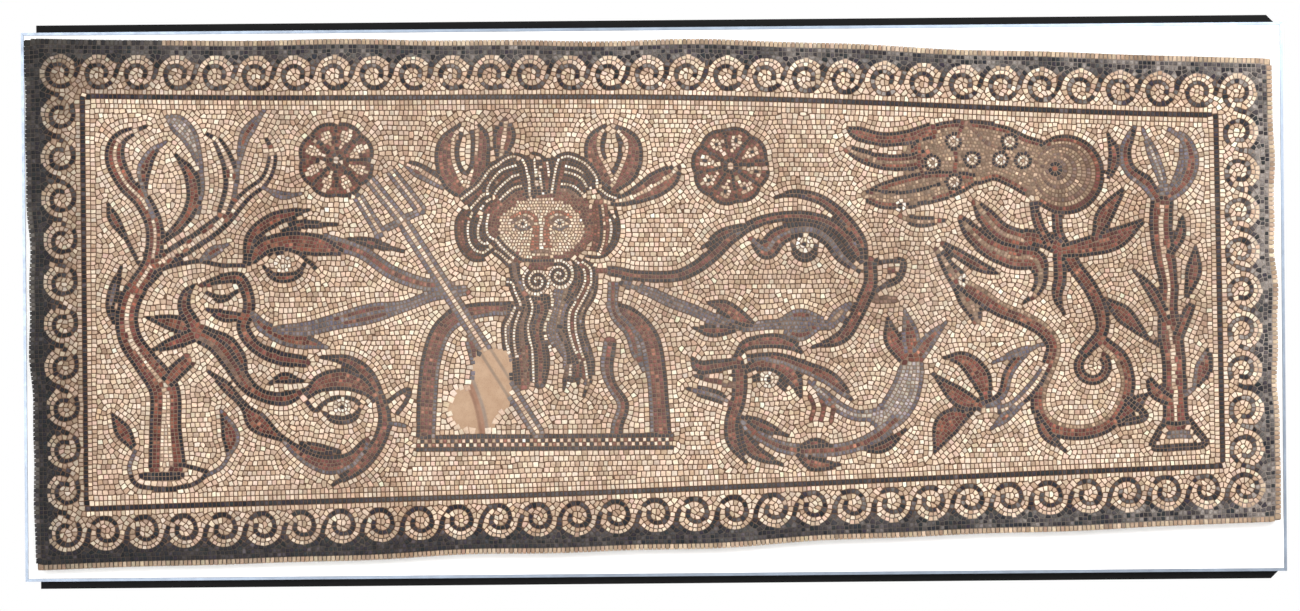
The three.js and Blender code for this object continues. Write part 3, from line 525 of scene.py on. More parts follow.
BEARD_LINES = [
    ("DW", (-339, -9), (-351, -36), (-362, -55), (-362, -86), (-358, -112), (-349, -128)),
    ("DWD", (-360, 52), (-345, 48), (-338, 25), (-328, 2), (-327, -16), (-340, -55), (-343, -90),
     (-338, -128)),
    ("DWD", (-307, 20), (-298, -4), (-299, -25), (-307, -52), (-306, -80), (-299, -115), (-297, -150),
     (-296, -195)),
    ("W", (-254, 33), (-249, 6), (-251, -13), (-264, -55), (-265, -78), (-260, -100), (-252, -118)),
    ("DWR", (-193, 104), (-174, 87), (-168, 66), (-171, 43), (-193, -2), (-206, -24), (-209, -60),
     (-203, -90), (-189, -128), (-181, -145)),
    ("RWD", (-176, 100), (-156, 84), (-153, 62), (-156, 40), (-180, -5), (-191, -28), (-192, -68),
     (-180, -117), (-170, -148), (-165, -186)),
    ("W", (-205, -152), (-206, -180), (-214, -206)),
]


def face_marks():
    """Brows, eyes and nose on a plain oval, set out evenly: a calm mask seen from the front."""
    half = HEAD_PITCH / 2
    middle, eye_line, apart = FACE_X, FACE_Z + 12, 45
    strokes = []
    for sign in (-1, 1):
        x = middle + sign * apart
        strokes += [
            ("T", (middle + sign * 13, eye_line - 4, half), (middle + sign * 16, eye_line + 18, half),
             (x - sign * 4, eye_line + 28, half), (x + sign * 30, eye_line + 15, half)),
            ("B", (x - sign * 24, eye_line - 1, half), (x - sign * 9, eye_line + 13, half),
             (x + sign * 10, eye_line + 13, half), (x + sign * 26, eye_line + 1, half)),
            ("G", (x - sign * 18, eye_line - 9, half), (x, eye_line - 15, half),
             (x + sign * 20, eye_line - 7, half)),
            ring("W", x, eye_line, 9, half),
            dot("D", x, eye_line, 6),
        ]
    strokes += [
        ("TTT", (middle - 12, eye_line - 6, 6), (middle - 15, eye_line - 38, 7),
         (middle - 18, eye_line - 62, 9)),
        ("TTT", (middle + 13, eye_line - 8, 6), (middle + 14, eye_line - 38, 6),
         (middle + 17, eye_line - 60, 7)),
        ("W", (middle, eye_line + 20, half), (middle, eye_line - 62, half)),
        ("B", (middle - 26, eye_line - 69, half), (middle + 24, eye_line - 69, half)),
        ("R", (middle - 22, eye_line - 84, half), (middle + 20, eye_line - 84, half)),
    ]
    return strokes


def dotted_bar():
    """The bar under the shoulders: two dark rows with red, pale and dark stones in turn between."""
    strokes = [("D", (-584, -326, 5), (44, -326, 5)), ("D", (-584, -356, 5), (44, -356, 5))]
    for k, x in enumerate(np.arange(-578, 42, FIGURE_PITCH)):
        strokes.append(dot("RCDC"[k % 4], x, -346, FIGURE_PITCH / 2))
        strokes.append(dot("CDCR"[k % 4], x, -336, FIGURE_PITCH / 2))
    return strokes


SPOTS = [(735, 386), (872, 384), (683, 334), (780, 341), (850, 340), (904, 337), (735, 287)]
REPAIR = [(-436, -119), (-379, -111), (-350, -133), (-350, -197), (-357, -254), (-386, -283),
          (-400, -314), (-464, -316), (-489, -297), (-507, -254), (-486, -211), (-450, -190)]

SPOTTED_BEAST += coil(982, 317) + [s for x, z in SPOTS for s in spot(x, z)]
SPOTTED_BEAST += [ring("W", 604, 229, 10, 4), dot("D", 604, 229, 8)]
SEA_DRAGON += [ring("C", 1070, -166, 8, 5), ring("W", 757, 46, 9, 4), dot("D", 757, 46, 6)]
CLOAK += dotted_bar()
BEAST_LEFT_UPPER += beast_eye(-907, 101)
BEAST_LEFT_LOWER += beast_eye(-764, -250)
BEAST_RIGHT_UPPER += beast_eye(369, 140)
BEAST_RIGHT_LOWER += beast_eye(279, -192)
MOUSTACHE = curl(-285, 53, 36, 130, 2.5, 1) + curl(-231, 67, 36, 112, 2.5, -1)

# Drawn in this order, later over earlier.
FIGURES = {
    "tree_left": TREE_LEFT, "tree_right": TREE_RIGHT,
    "beast_left_upper": BEAST_LEFT_UPPER, "beast_left_lower": BEAST_LEFT_LOWER,
    "beast_right_upper": BEAST_RIGHT_UPPER, "beast_right_lower": BEAST_RIGHT_LOWER,
    "sea_dragon": SEA_DRAGON, "spotted_beast": SPOTTED_BEAST, "leaf_spray": LEAF_SPRAY,
    "rosette_left": rosette(-773, 353, 92, np.pi / 2, False),
    "rosette_right": rosette(190, 330, 94, 1.75, True),
    "cloak": CLOAK,
    "hair_and_beard": [*CLAWS, *locks(HAIR), *BEARD, *locks(BEARD_LINES), *MOUSTACHE],
    "face": face_marks(),
    "trident": TRIDENT,
}
PITCHES = {"spotted_beast": ROSETTE_PITCH, "rosette_left": ROSETTE_PITCH,
           "rosette_right": ROSETTE_PITCH, "hair_and_beard": HEAD_PITCH, "face": HEAD_PITCH}
SLOTS = {"spotted_beast": "tesserae_brown", "face": "tesserae_brown", "trident": "tesserae_grey"}

# The nodes that a figure stands for, where they aren't one node of its own name.
NODES = {
    "hair_and_beard": ["inlay_god_hair_and_beard"],
    "face": ["inlay_god_brows_and_nose", "inlay_god_eye_left", "inlay_god_eye_right"],
    "trident": ["inlay_trident", "inlay_trident_foot"],
}
# ---- the border ----


def wander(side, along):
    """The cut edge isn't true: two sine waves along each side, out of step from side to side."""
    turn = 2 * np.pi * along
    sway = np.sin(3 * turn + side) + 0.6 * np.sin(7 * turn + 2 * side)
    return EDGE_WAVE * np.sin(np.pi * along) * sway


def bow(side, along):
    """How far a side and its border bow outwards: the square of a sine, a little past its middle."""
    return BOWS[side] * np.sin(np.pi * along ** BOW_SKEW) ** 2


def border_point(side, along, inward):
    """A point between the cut edge (inward 0) and the dark line (1), by mixing the two quadrangles."""
    along = np.asarray(along, float)[..., None]
    inward = np.asarray(inward, float)[..., None]
    after = (side + 1) % 4
    outer = OUTER[side] + (OUTER[after] - OUTER[side]) * along
    inner = INNER[side] + (INNER[after] - INNER[side]) * along
    sway = INWARDS[side] * (wander(side, along) * (1 - inward) - bow(side, along))
    return outer + (inner - outer) * inward + sway


def border_line(side, depth, half):
    """A row along one side, at a depth in millimetres from the cut edge, as a curve with a width."""
    along = np.linspace(0, 1, 300)
    return np.column_stack([border_point(side, along, depth / BORDER), np.full(300, half)])


def wave_centres():
    """The middle of every wave's head, with the number of its side."""
    return [(side, border_point(side, k / count, WAVE_DEPTH), k == 0)
            for side, count in enumerate(WAVES) for k in range(count)]


def wave_strokes():
    """Dark arms. In a wave's own frame, forwards and inwards, an arm starts in the dark cusp before
    the next wave and winds in: its radius falls fast at first, then as exp(-angle / ARM_FALL)."""
    strokes = []
    degrees = np.linspace(-34, 385, 40)
    radius = np.where(degrees < ARM_ANGLES[-1], np.interp(degrees, ARM_ANGLES, ARM_RADII),
                      ARM_RADII[-1] * np.exp(-(degrees - ARM_ANGLES[-1]) / ARM_FALL))
    angle = np.radians(degrees)
    for side, centre, _ in wave_centres():
        arm = centre + radius[:, None] * (np.cos(angle)[:, None] * FORWARDS[side]
                                          + np.sin(angle)[:, None] * INWARDS[side])
        strokes.append(("D", np.column_stack([arm, np.full(len(arm), ARM)])))
    return strokes


# ---- laying the stones ----


def pick(stones, here):
    """The stones at the chosen places, as the same columns."""
    return {key: values[here] for key, values in stones.items()}


def head_rows(sites):
    """A pale row just inside the outer half of every wave's head, and a dark row just outside it.
    Gives back the middles of the heads."""
    heads = []
    for side, centre, corner in wave_centres():
        heads.append(centre)
        for radius, kind, owner, rank in ((HEAD_RADIUS - 5, "C", GROUND, 1.3),
                                          (HEAD_RADIUS + 5.5, "D", BAND_ROW, 1.4)):
            turn = np.arange(-262 if corner else -176, -36, np.degrees(LINE_PITCH / radius))
            along, across = np.cos(np.radians(turn))[:, None], np.sin(np.radians(turn))[:, None]
            out = along * FORWARDS[side] + across * INWARDS[side]
            way = along * INWARDS[side] - across * FORWARDS[side]
            sites.add(centre + radius * out, np.arctan2(way[:, 1], way[:, 0]), LINE_PITCH, 0.12,
                      rank, owner, kind)
    return np.array(heads)


def offset_row(curve, offset, pitch):
    """Even steps along a line that runs beside the curve, to its left by the offset. Returns the
    places, the curve's half width there, the offset and the direction."""
    way = tangents(curve)
    offset = np.broadcast_to(offset, (len(curve),))
    beside = curve[:, :2] + np.stack([-way[:, 1], way[:, 0]], 1) * offset[:, None]
    row = resample(np.column_stack([beside, curve[:, 2], offset, way]), pitch, 0.5)
    return row[:, :2], row[:, 2], row[:, 3], np.arctan2(row[:, 5], row[:, 4])


def round_stroke(curve, grow):
    """The closed line round a tapering stroke at a distance: both sides and two half circles."""
    way = tangents(curve)
    out = np.stack([-way[:, 1], way[:, 0]], 1)
    reach = (curve[:, 2] + grow)[:, None]
    left, right = curve[:, :2] + out * reach, (curve[:, :2] - out * reach)[::-1]

    def cap(centre, start, radius):
        angle = np.arctan2(start[1], start[0]) - np.linspace(0, np.pi, 9)[1:-1]
        return centre + radius * np.stack([np.cos(angle), np.sin(angle)], 1)

    return np.vstack([left, cap(curve[-1, :2], out[-1], reach[-1, 0]), right,
                      cap(curve[0, :2], -out[0], reach[0, 0]), left[:1]])


class Chart:
    """A coarse map of the panel: the distance to the nearest figure, below zero inside one, and
    which stroke lies uppermost at each place."""

    STEP = 4.0
    FAR = 60.0

    def __init__(self):
        self.x = np.arange(-1560, 1561, self.STEP)
        self.z = np.arange(-700, 701, self.STEP)
        self.distance = np.full((len(self.z), len(self.x)), self.FAR)
        self.owner = np.full(self.distance.shape, -1)

    def window(self, low, high):
        """Slices of the map that hold a box."""
        start, most = np.array([self.x[0], self.z[0]]), np.array([len(self.x), len(self.z)])
        first = np.clip(np.floor((low - start) / self.STEP), 0, most).astype(int)
        last = np.clip(np.ceil((high - start) / self.STEP), 0, most).astype(int) + 1
        return slice(first[1], last[1]), slice(first[0], last[0])

    def add(self, curve, ident):
        """A stroke is the union of the discs along it: the least of distance less half width."""
        reach = curve[:, 2].max() + self.FAR
        rows, columns = self.window(curve[:, :2].min(0) - reach, curve[:, :2].max(0) + reach)
        x, z = np.meshgrid(self.x[columns], self.z[rows])
        near = np.full(x.shape, self.FAR)
        for px, pz, half in curve[::2]:
            np.minimum(near, np.hypot(x - px, z - pz) - half, out=near)
        self.merge(rows, columns, near, ident)

    def merge(self, rows, columns, near, ident):
        np.minimum(self.distance[rows, columns], near, out=self.distance[rows, columns])
        self.owner[rows, columns][near < 0] = ident

    def area(self, ident, inside, low, high):
        """An area given by a function that is below zero inside it."""
        rows, columns = self.window(low, high)
        x, z = np.meshgrid(self.x[columns], self.z[rows])
        self.merge(rows, columns, inside(x, z), ident)

    def at(self, places):
        """The distance at any places, mixed from the four nearest map points."""
        u = np.clip((places[:, 0] - self.x[0]) / self.STEP, 0, len(self.x) - 1.001)
        v = np.clip((places[:, 1] - self.z[0]) / self.STEP, 0, len(self.z) - 1.001)
        i, j = u.astype(int), v.astype(int)
        u, v, d = u - i, v - j, self.distance
        return (d[j, i] * (1 - u) * (1 - v) + d[j, i + 1] * u * (1 - v)
                + d[j + 1, i] * (1 - u) * v + d[j + 1, i + 1] * u * v)

    def owner_at(self, places):
        i = np.clip(np.rint((places[:, 0] - self.x[0]) / self.STEP).astype(int), 0, len(self.x) - 1)
        j = np.clip(np.rint((places[:, 1] - self.z[0]) / self.STEP).astype(int), 0, len(self.z) - 1)
        return self.owner[j, i]

    def direction(self, places):
        """Along the outline of the nearest figure: square to the slope of the distance."""
        e = self.STEP
        slope = [self.at(places + step) - self.at(places - step)
                 for step in (np.array([e, 0]), np.array([0, e]))]
        return np.arctan2(slope[1], slope[0]) + np.pi / 2


class Sites:
    """The stones before they are cut: place, direction, pitch, how freely each may move, rank,
    owner and kind of stone."""

    def __init__(self):
        self.rows = []

    def add(self, places, angle, pitch, freedom, rank, owner, kind):
        count = len(places)
        if count:
            spread = [np.broadcast_to(np.asarray(v, float), (count,))
                      for v in (angle, pitch, freedom, rank, owner)]
            kinds = np.broadcast_to(np.asarray(kind, "U1"), (count,))
            self.rows.append([np.asarray(places, float)[:, :2], *spread, kinds])

    def arrays(self):
        return [np.concatenate(column) for column in zip(*self.rows)]


def lay_stroke(sites, chart, recipe, curve, ident, pitch):
    """Rows of stones from the outline inwards: row k lies at the half width less k + 1/2 pitches
    from the middle, on both sides, until the two meet in one centre row."""
    half = curve[:, 2]

    def put(row, keep, level, kind):
        places, _, _, angle = row
        keep = keep & (chart.owner_at(places) == ident)
        sites.add(places[keep], angle[keep], pitch, 0.12 if level == 0 else 0.3,
                  1.0 + 0.1 * level, ident, kind)

    if len(recipe) == 1:
        rows = 1 if half.max() < 0.85 * pitch else 2
        for k in range(rows):
            row = offset_row(curve, (k - (rows - 1) / 2) * np.minimum(half, pitch), pitch)
            put(row, True, 0, recipe)
        return
    if len(recipe) == 3:
        for k, kind in zip((1, 0, -1), recipe):
            row = offset_row(curve, k * 0.68 * half, pitch)
            put(row, True, 0, kind)
        return
    left, inner, fill, middle, right = recipe if len(recipe) == 5 else recipe[0] + recipe[1] + recipe[1:]
    if middle != fill:
        row = offset_row(curve, 0.0, pitch)
        put(row, row[1] > pitch, 0.2, middle)
    least = 0.3 if middle == fill else 0.72
    for level in range(12):
        offset = half - (level + 0.5) * pitch
        if offset.max() < -0.5 * pitch:
            break
        for sign, edge in ((1, left), (-1, right)):
            row = offset_row(curve, sign * np.maximum(offset, 0), pitch)
            kind = (edge, inner)[level] if level < 2 else fill
            put(row, sign * row[2] >= least * pitch, level, kind)
        row = offset_row(curve, 0.0, pitch)
        rest = row[1] - (level + 0.5) * pitch
        keep = (rest < 0.3 * pitch) & (rest > (-9 if level == 0 else -0.28) * pitch)
        put(row, keep, level + 0.5, left if level == 0 else middle)


def neighbours(places, reach, count):
    """A table of the nearest other sites, nearest first, found in a grid of square cells."""
    column, row = (((places - places.min(0)) / reach).astype(int) + 1).T
    across = column.max() + 2
    key = row * across + column
    order = np.argsort(key, kind="stable")
    first = np.searchsorted(key[order], np.arange(across * (row.max() + 2)))
    slot = np.arange(len(places)) - first[key[order]]
    table = np.full((len(first), slot.max() + 1), -1)
    table[key[order], slot] = order
    near = np.concatenate([table[key + dj * across + di] for dj in (-1, 0, 1) for di in (-1, 0, 1)], 1)
    gap = np.hypot(*(places[near] - places[:, None]).transpose(2, 0, 1))
    gap[(near < 0) | (near == np.arange(len(places))[:, None])] = np.inf
    count = min(count, near.shape[1])
    best = np.argpartition(gap, count - 1, axis=1)[:, :count]
    gap, near = np.take_along_axis(gap, best, 1), np.take_along_axis(near, best, 1)
    order = np.argsort(gap, axis=1)
    gap, near = np.take_along_axis(gap, order, 1), np.take_along_axis(near, order, 1)
    near[gap > reach] = -1
    return near, gap


def thin_out(places, rank, gap):
    """True for the sites that keep their place: no kept site of lower rank is nearer than the gap."""
    order = np.empty(len(places), int)
    order[np.argsort(rank, kind="stable")] = np.arange(len(places))
    near, span = neighbours(places, gap.max(), 14)
    rival = (near >= 0) & (span < np.minimum(gap[:, None], gap[near])) & (order[near] < order[:, None])
    state = np.zeros(len(places), int)
    while (state == 0).any():
        waiting = state == 0
        beaten = (rival & (state[near] == 1)).any(1)
        free = ~(rival & (state[near] >= 0)).any(1)
        state[waiting & beaten] = -1
        state[waiting & free & ~beaten] = 1
    return state == 1


def onward(corners, count):
    """Which slots hold a corner, and for each its next slot and next corner."""
    slots = np.arange(corners.shape[1])[None]
    after = np.where(slots + 1 < count[:, None], slots + 1, 0)
    return slots < count[:, None], after, np.take_along_axis(corners, after[..., None], 1)


def cut(corners, count, point, normal):
    """Cut each convex outline by a half plane: corners inside stay, and each side that crosses the
    line gives a new corner where its two distances balance."""
    live, after, following = onward(corners, count)
    side = ((corners - point[:, None]) * normal[:, None]).sum(2)
    side_after = np.take_along_axis(side, after, 1)
    share = side / np.where(np.abs(side - side_after) < 1e-12, 1, side - side_after)
    shape = (len(corners), 2 * corners.shape[1])
    both, kept = np.empty((*shape, 2)), np.empty(shape, bool)
    both[:, 0::2] = corners
    both[:, 1::2] = corners + (following - corners) * share[..., None]
    kept[:, 0::2] = live & (side <= 0)
    kept[:, 1::2] = live & ((side <= 0) != (side_after <= 0))
    order = np.argsort(~kept, axis=1, kind="stable")[:, :corners.shape[1]]
    return np.take_along_axis(both, order[..., None], 1), np.minimum(kept.sum(1), corners.shape[1])


def grow_stones(places, angle, pitch, joint, skew, reach=26.0, corners_most=11):
    """Each stone starts as a square along its direction and is cut half way to each neighbour, by a
    line square to the shared direction that points most nearly to it, less half a joint."""
    near, _ = neighbours(places, reach, 14)
    half = (0.74 * pitch)[:, None]
    along = np.stack([np.cos(angle), np.sin(angle)], 1)
    across = np.stack([-along[:, 1], along[:, 0]], 1)
    corners = np.zeros((len(places), corners_most, 2))
    for k, (a, b) in enumerate(((-1, -1), (1, -1), (1, 1), (-1, 1))):
        corners[:, k] = places + half * (a * along + b * across)
    count = np.full(len(places), 4)
    fourfold = np.stack([np.cos(4 * angle), np.sin(4 * angle)], 1)
    index = np.arange(len(places))
    for other in near.T:
        there = np.where(other >= 0, other, 0)
        gap = places[there] - places
        shared = fourfold + fourfold[there]
        frame_angle = np.arctan2(shared[:, 1], shared[:, 0]) / 4
        way = np.arctan2(gap[:, 1], gap[:, 0])
        square = frame_angle + np.rint((way - frame_angle) / (np.pi / 2)) * (np.pi / 2)
        pair = np.sin(12.9898 * np.minimum(index, there) + 78.233 * np.maximum(index, there))
        turn = square + 0.25 * (way - square) + skew * np.sin(43758.5 * pair)
        normal = np.stack([np.cos(turn), np.sin(turn)], 1)
        share = (pitch / (pitch + pitch[there]))[:, None]
        point = places + gap * share - normal * joint / 2
        point = np.where((other >= 0)[:, None], point, places + 1e4)
        normal = np.where((other >= 0)[:, None], normal, [1.0, 0.0])
        corners, count = cut(corners, count, point, normal)
    return corners, count


def centres_of(corners, count):
    """The centroid and area of each outline, from the cross products of its sides."""
    live, _, following = onward(corners, count)
    cross = corners[..., 0] * following[..., 1] - corners[..., 1] * following[..., 0]
    cross = np.where(live, cross, 0)
    area = cross.sum(1) / 2
    centre = ((corners + following) * cross[..., None]).sum(1)
    return centre / (6 * np.maximum(area, 1e-9))[:, None], area


def drop_short_sides(corners, count, least):
    """Leaves out a corner that stands too near the next one."""
    live, _, following = onward(corners, count)
    kept = live & (np.hypot(*(following - corners).transpose(2, 0, 1)) > least)
    order = np.argsort(~kept, axis=1, kind="stable")
    return np.take_along_axis(corners, order[..., None], 1), kept.sum(1)


def edge_depth(places):
    """How far places lie inside the cut edge: the least depth behind its four wandering sides."""
    depth = np.full(len(places), np.inf)
    for side in range(4):
        start, way = OUTER[side], OUTER[(side + 1) % 4] - OUTER[side]
        length = np.hypot(*way)
        way = way / length
        gap = places - start
        along = np.clip(gap @ way / length, 0, 1)
        depth = np.minimum(depth, way[1] * gap[:, 0] - way[0] * gap[:, 1] - wander(side, along)
                           + bow(side, along))
    return depth


def in_face(x, z):
    """Below zero inside the oval of the face."""
    reach = np.hypot((x - FACE_X) / FACE_HALF[0], (z - FACE_Z) / FACE_HALF[1])
    return (reach - 1) * FACE_HALF[1]


def in_head(x, z):
    """Below zero inside the mass of hair round the face."""
    return (np.hypot((x + 276) / 134, (z - 195) / 104) - 1) * 104


def in_repair(x, z):
    """Below zero inside the plaster repair, whose outline is taken as a radius for each angle."""
    radius, centre = repair_outline()
    angle = np.arctan2(z - centre[1], x - centre[0])
    around = np.linspace(-np.pi, np.pi, len(radius))
    return np.hypot(x - centre[0], z - centre[1]) - np.interp(angle, around, radius)


def repair_outline():
    """The repair's radius at even angles round its middle."""
    centre = np.mean(REPAIR, axis=0)
    closed = [(x, z, 1) for x, z in [*REPAIR, *REPAIR[:2]]]
    line = smooth(closed, 2.0)[:, :2] - centre
    angle = np.arctan2(line[:, 1], line[:, 0])
    order = np.argsort(angle)
    around = np.linspace(-np.pi, np.pi, 181)
    radius = np.hypot(*line.T)[order]
    return np.interp(around, angle[order], radius, period=2 * np.pi), centre


GROUND, REPAIRED, HEAD_FILL, FACE_FILL, BAND_ROW, LINE_ROW = -1, -2, -3, -4, -5, -6
GROUND_SHEETS = ("ground_left", "ground_middle", "ground_right")

# Areas that are filled without strokes: the test, a box round them, the stones and the piece.
AREAS = {
    HEAD_FILL: (in_head, (-460, 40), (-100, 370), "R", "hair_and_beard"),
    FACE_FILL: (in_face, (-400, 90), (-150, 280), "F", "ground"),
}


def chart_strokes(chart):
    """Charts every stroke in its order, the mass of hair between the claws and the locks, the face
    over them and the repair over the figures. Gives back the strokes and the piece of each."""
    strokes, pieces = [], []

    def draw(name, recipe, curve, pitch):
        chart.add(curve, len(strokes))
        strokes.append((recipe, curve, pitch))
        pieces.append(name)

    for name, figure in FIGURES.items():
        god = name == "hair_and_beard"
        for k, (recipe, *points) in enumerate(figure):
            if god and k == len(CLAWS):
                chart.area(HEAD_FILL, *AREAS[HEAD_FILL][:3])
            curve = smooth(points, 2.5)
            curve[:, 2] = np.maximum(curve[:, 2], 3)
            claw = god and k < len(CLAWS)
            draw(name, recipe, curve, FIGURE_PITCH if claw else PITCHES.get(name, FIGURE_PITCH))
        if god:
            chart.area(FACE_FILL, *AREAS[FACE_FILL][:3])
    chart.area(REPAIRED, in_repair, (-530, -340), (-330, -90))
    for recipe, curve in wave_strokes():
        draw("wave_border", recipe, curve, LINE_PITCH)
    return strokes, pieces


def rows_beside(sites, chart, curve):
    """Two rows of ground stones that follow the outline of a stroke, where nothing else is near."""
    for level in range(2):
        away = (level + 0.5) * FIELD_PITCH
        outline = round_stroke(curve, away)
        row = resample(np.column_stack([outline, tangents(outline)]), FIELD_PITCH, 0.5)
        fits = np.abs(chart.at(row) - away) < 0.28 * FIELD_PITCH
        sites.add(row[fits, :2], np.arctan2(row[fits, 3], row[fits, 2]), FIELD_PITCH, 0.5,
                  3.0 + level, GROUND, "C")


def border_rows(sites):
    """Rows that follow the cut edge: its own, the dark band, the line and the rows beside it."""
    rows = [(EDGE_ROW, "E", GROUND, 0.0), (BORDER - 12, "C", GROUND, 2.0),
            (BORDER, "D", LINE_ROW, 0.05)]
    rows += [(depth, "D", BAND_ROW, 0.1) for depth in BAND]
    rows += [(BORDER + 12 * k, "C", GROUND, 2.1) for k in (1, 2)]
    for depth, kind, owner, rank in rows:
        for side in range(4):
            places, _, _, angle = offset_row(border_line(side, depth, 6), 0.0, LINE_PITCH)
            kinds = np.full(len(places), kind)
            if kind == "E" and side in (0, 3):
                kinds[places[:, 0] < DARK_EDGE] = "N"
            sites.add(places, angle, LINE_PITCH if kind == "D" else FIELD_PITCH - 0.4, 0.12, rank,
                      owner, kinds)


def loose_rows(low, high, pitch, dice):
    """Level rows over a box, each shifted against the next and every stone a little by chance. They
    tilt with the picture, which narrows to the right."""
    x, z = np.meshgrid(np.arange(low[0], high[0], pitch), np.arange(low[1], high[1], pitch))
    x = x + (np.arange(len(x)) % 2 * 0.5 + dice.uniform(-0.2, 0.2, len(x)))[:, None] * pitch
    x = x + dice.normal(0, 0.12, x.shape) * pitch
    z = z - NARROWING[0] * x * (z / NARROWING[1])
    return np.stack([x.ravel(), z.ravel()], 1)


def share_out(chart, strokes, heads, places, pitch, owner, kind):
    """Ground stones that fall inside a figure belong to it, and those between the waves' heads and
    the cut edge to the dark band."""
    lying = chart.owner_at(places)
    loose = (owner == GROUND) & (chart.at(places) < -2)
    fill = np.array([r[1] if len(r) == 4 else r[2] if len(r) == 5 else r[0] for r, _, _ in strokes])
    here = loose & (lying >= 0)
    kind[here] = fill[lying[here]]
    owner[here] = lying[here]
    pitch[here] *= 0.85
    for area, (_, _, _, letter, _) in AREAS.items():
        here = loose & (lying == area)
        kind[here], owner[here], pitch[here] = letter, area, HEAD_PITCH
    depth = edge_depth(places)
    off = np.full(len(places), np.inf)
    for head in heads:
        off = np.minimum(off, np.hypot(*(places - head).T))
    cusp = (depth < WAVE_DEPTH * BORDER) & (off > HEAD_RADIUS)
    band = (owner == GROUND) & (kind == "C") & (cusp | (depth < BAND[-1] + 8))
    kind[band], owner[band] = "D", BAND_ROW
    return (lying != REPAIRED) & (np.isin(kind, ["E", "N"]) | (depth > BAND[0] - 3))


def lay_panel(joint):
    """Every stone of the panel: corners, corner counts, places, kinds and the name of its piece. It
    also gives back the chart."""
    dice = np.random.default_rng(7)
    chart, sites = Chart(), Sites()
    strokes, pieces = chart_strokes(chart)
    for ident, (recipe, curve, pitch) in enumerate(strokes):
        lay_stroke(sites, chart, recipe, curve, ident, pitch)
        rows_beside(sites, chart, curve)
    border_rows(sites)
    heads = head_rows(sites)
    ground = loose_rows((-1540, -660), (1540, 665), FIELD_PITCH, dice)
    sites.add(ground, 0.0, FIELD_PITCH, 0.8, 6.0, GROUND, "C")
    filling = loose_rows((-470, -240), (-90, 380), HEAD_PITCH, dice)
    for area, (_, _, _, kind, _) in AREAS.items():
        here = chart.owner_at(filling) == area
        sites.add(filling[here], 0.0, HEAD_PITCH, 0.6, 5.0, area, kind)
    places, angle, pitch, freedom, rank, owner, kind = sites.arrays()
    keep = share_out(chart, strokes, heads, places, pitch, owner, kind)
    keep[keep] = thin_out(places[keep], (rank + dice.uniform(0, 0.04, len(rank)))[keep],
                          LEAST_GAP * pitch[keep])
    places, angle, pitch, freedom, owner, kind, rank = [
        a[keep] for a in (places, angle, pitch, freedom, owner, kind, rank)]
    # free stones turn with the nearest outline, less and less with its distance
    weight = 1.6 * np.exp(-np.maximum(chart.at(places), 0) / 26)
    beside = chart.direction(places)
    turned = np.arctan2(weight * np.sin(4 * beside), weight * np.cos(4 * beside) + 0.22) / 4
    angle = np.where(rank >= 4.5, turned, angle)
    for _ in range(5):
        centre, _ = centres_of(*grow_stones(places, angle, pitch, 0.0, 0.0))
        places = places + freedom[:, None] * (centre - places)
    angle = angle + dice.normal(0, 0.045, len(angle))
    corners, count = drop_short_sides(*grow_stones(places, angle, pitch, joint, 0.05), 1.3)
    _, area = centres_of(corners, count)
    solid = (count > 2) & (area > 14)
    names = {GROUND: "ground", BAND_ROW: "wave_border", LINE_ROW: "picture_line",
             **{area: data[4] for area, data in AREAS.items()}, **dict(enumerate(pieces))}
    piece = np.array([names[int(o)] for o in owner])
    zone = np.digitize(places[:, 0], np.array([-1, 1]) * (INNER[1, 0] - INNER[0, 0]) / 6)
    piece = np.where(piece == "ground", np.array(GROUND_SHEETS)[zone], piece)
    stones = {"corners": corners, "count": count, "places": places, "kind": kind, "piece": piece}
    return pick(stones, solid), chart
# ---- meshes ----


def linear(colour):
    """Screen colours to linear light, by the usual sRGB curve."""
    colour = np.asarray(colour, float)
    return np.where(colour <= 0.04045, colour / 12.92, ((colour + 0.055) / 1.055) ** 2.4)


# Kinds of stone: a few screen colours each, from which every stone draws one.
STONES = {
    "C": [(232, 206, 180), (224, 198, 172), (240, 218, 194), (212, 184, 158), (230, 200, 178),
          (200, 170, 144), (242, 222, 200)],
    "W": [(240, 228, 210), (230, 212, 188), (246, 236, 222), (222, 202, 180)],
    "F": [(236, 212, 184), (226, 198, 170), (240, 222, 200), (214, 184, 158)],
    "E": [(202, 178, 152), (188, 162, 136), (210, 188, 162), (172, 146, 122), (194, 170, 146)],
    "N": [(96, 92, 90), (76, 72, 74), (116, 110, 104), (60, 58, 62)],
    "D": [(36, 35, 42), (28, 31, 40), (48, 42, 46), (32, 38, 42), (42, 36, 48), (70, 64, 68)],
    "G": [(116, 108, 110), (100, 96, 102), (132, 122, 120), (106, 100, 112)],
    "L": [(176, 164, 152), (160, 152, 146), (188, 176, 162), (166, 156, 158)],
    "R": [(120, 64, 51), (100, 52, 45), (138, 80, 63), (108, 56, 54), (130, 74, 65), (86, 46, 43),
          (156, 102, 82)],
    "B": [(128, 98, 83), (114, 87, 76), (142, 110, 92), (120, 98, 90)],
    "K": [(172, 144, 119), (154, 126, 102), (190, 162, 136), (160, 134, 112), (140, 114, 93)],
    "T": [(166, 98, 72), (150, 86, 64), (178, 112, 84), (158, 100, 82)],
}

TONE = 0.72                                   # own colours against those seen in the strong light
LIME = linear([0.70, 0.66, 0.63])
JOINT_FIELD = linear([0.39, 0.285, 0.22])
JOINT_FIGURE = linear([0.57, 0.475, 0.41])
JOINT_BORDER = linear([0.20, 0.20, 0.20])


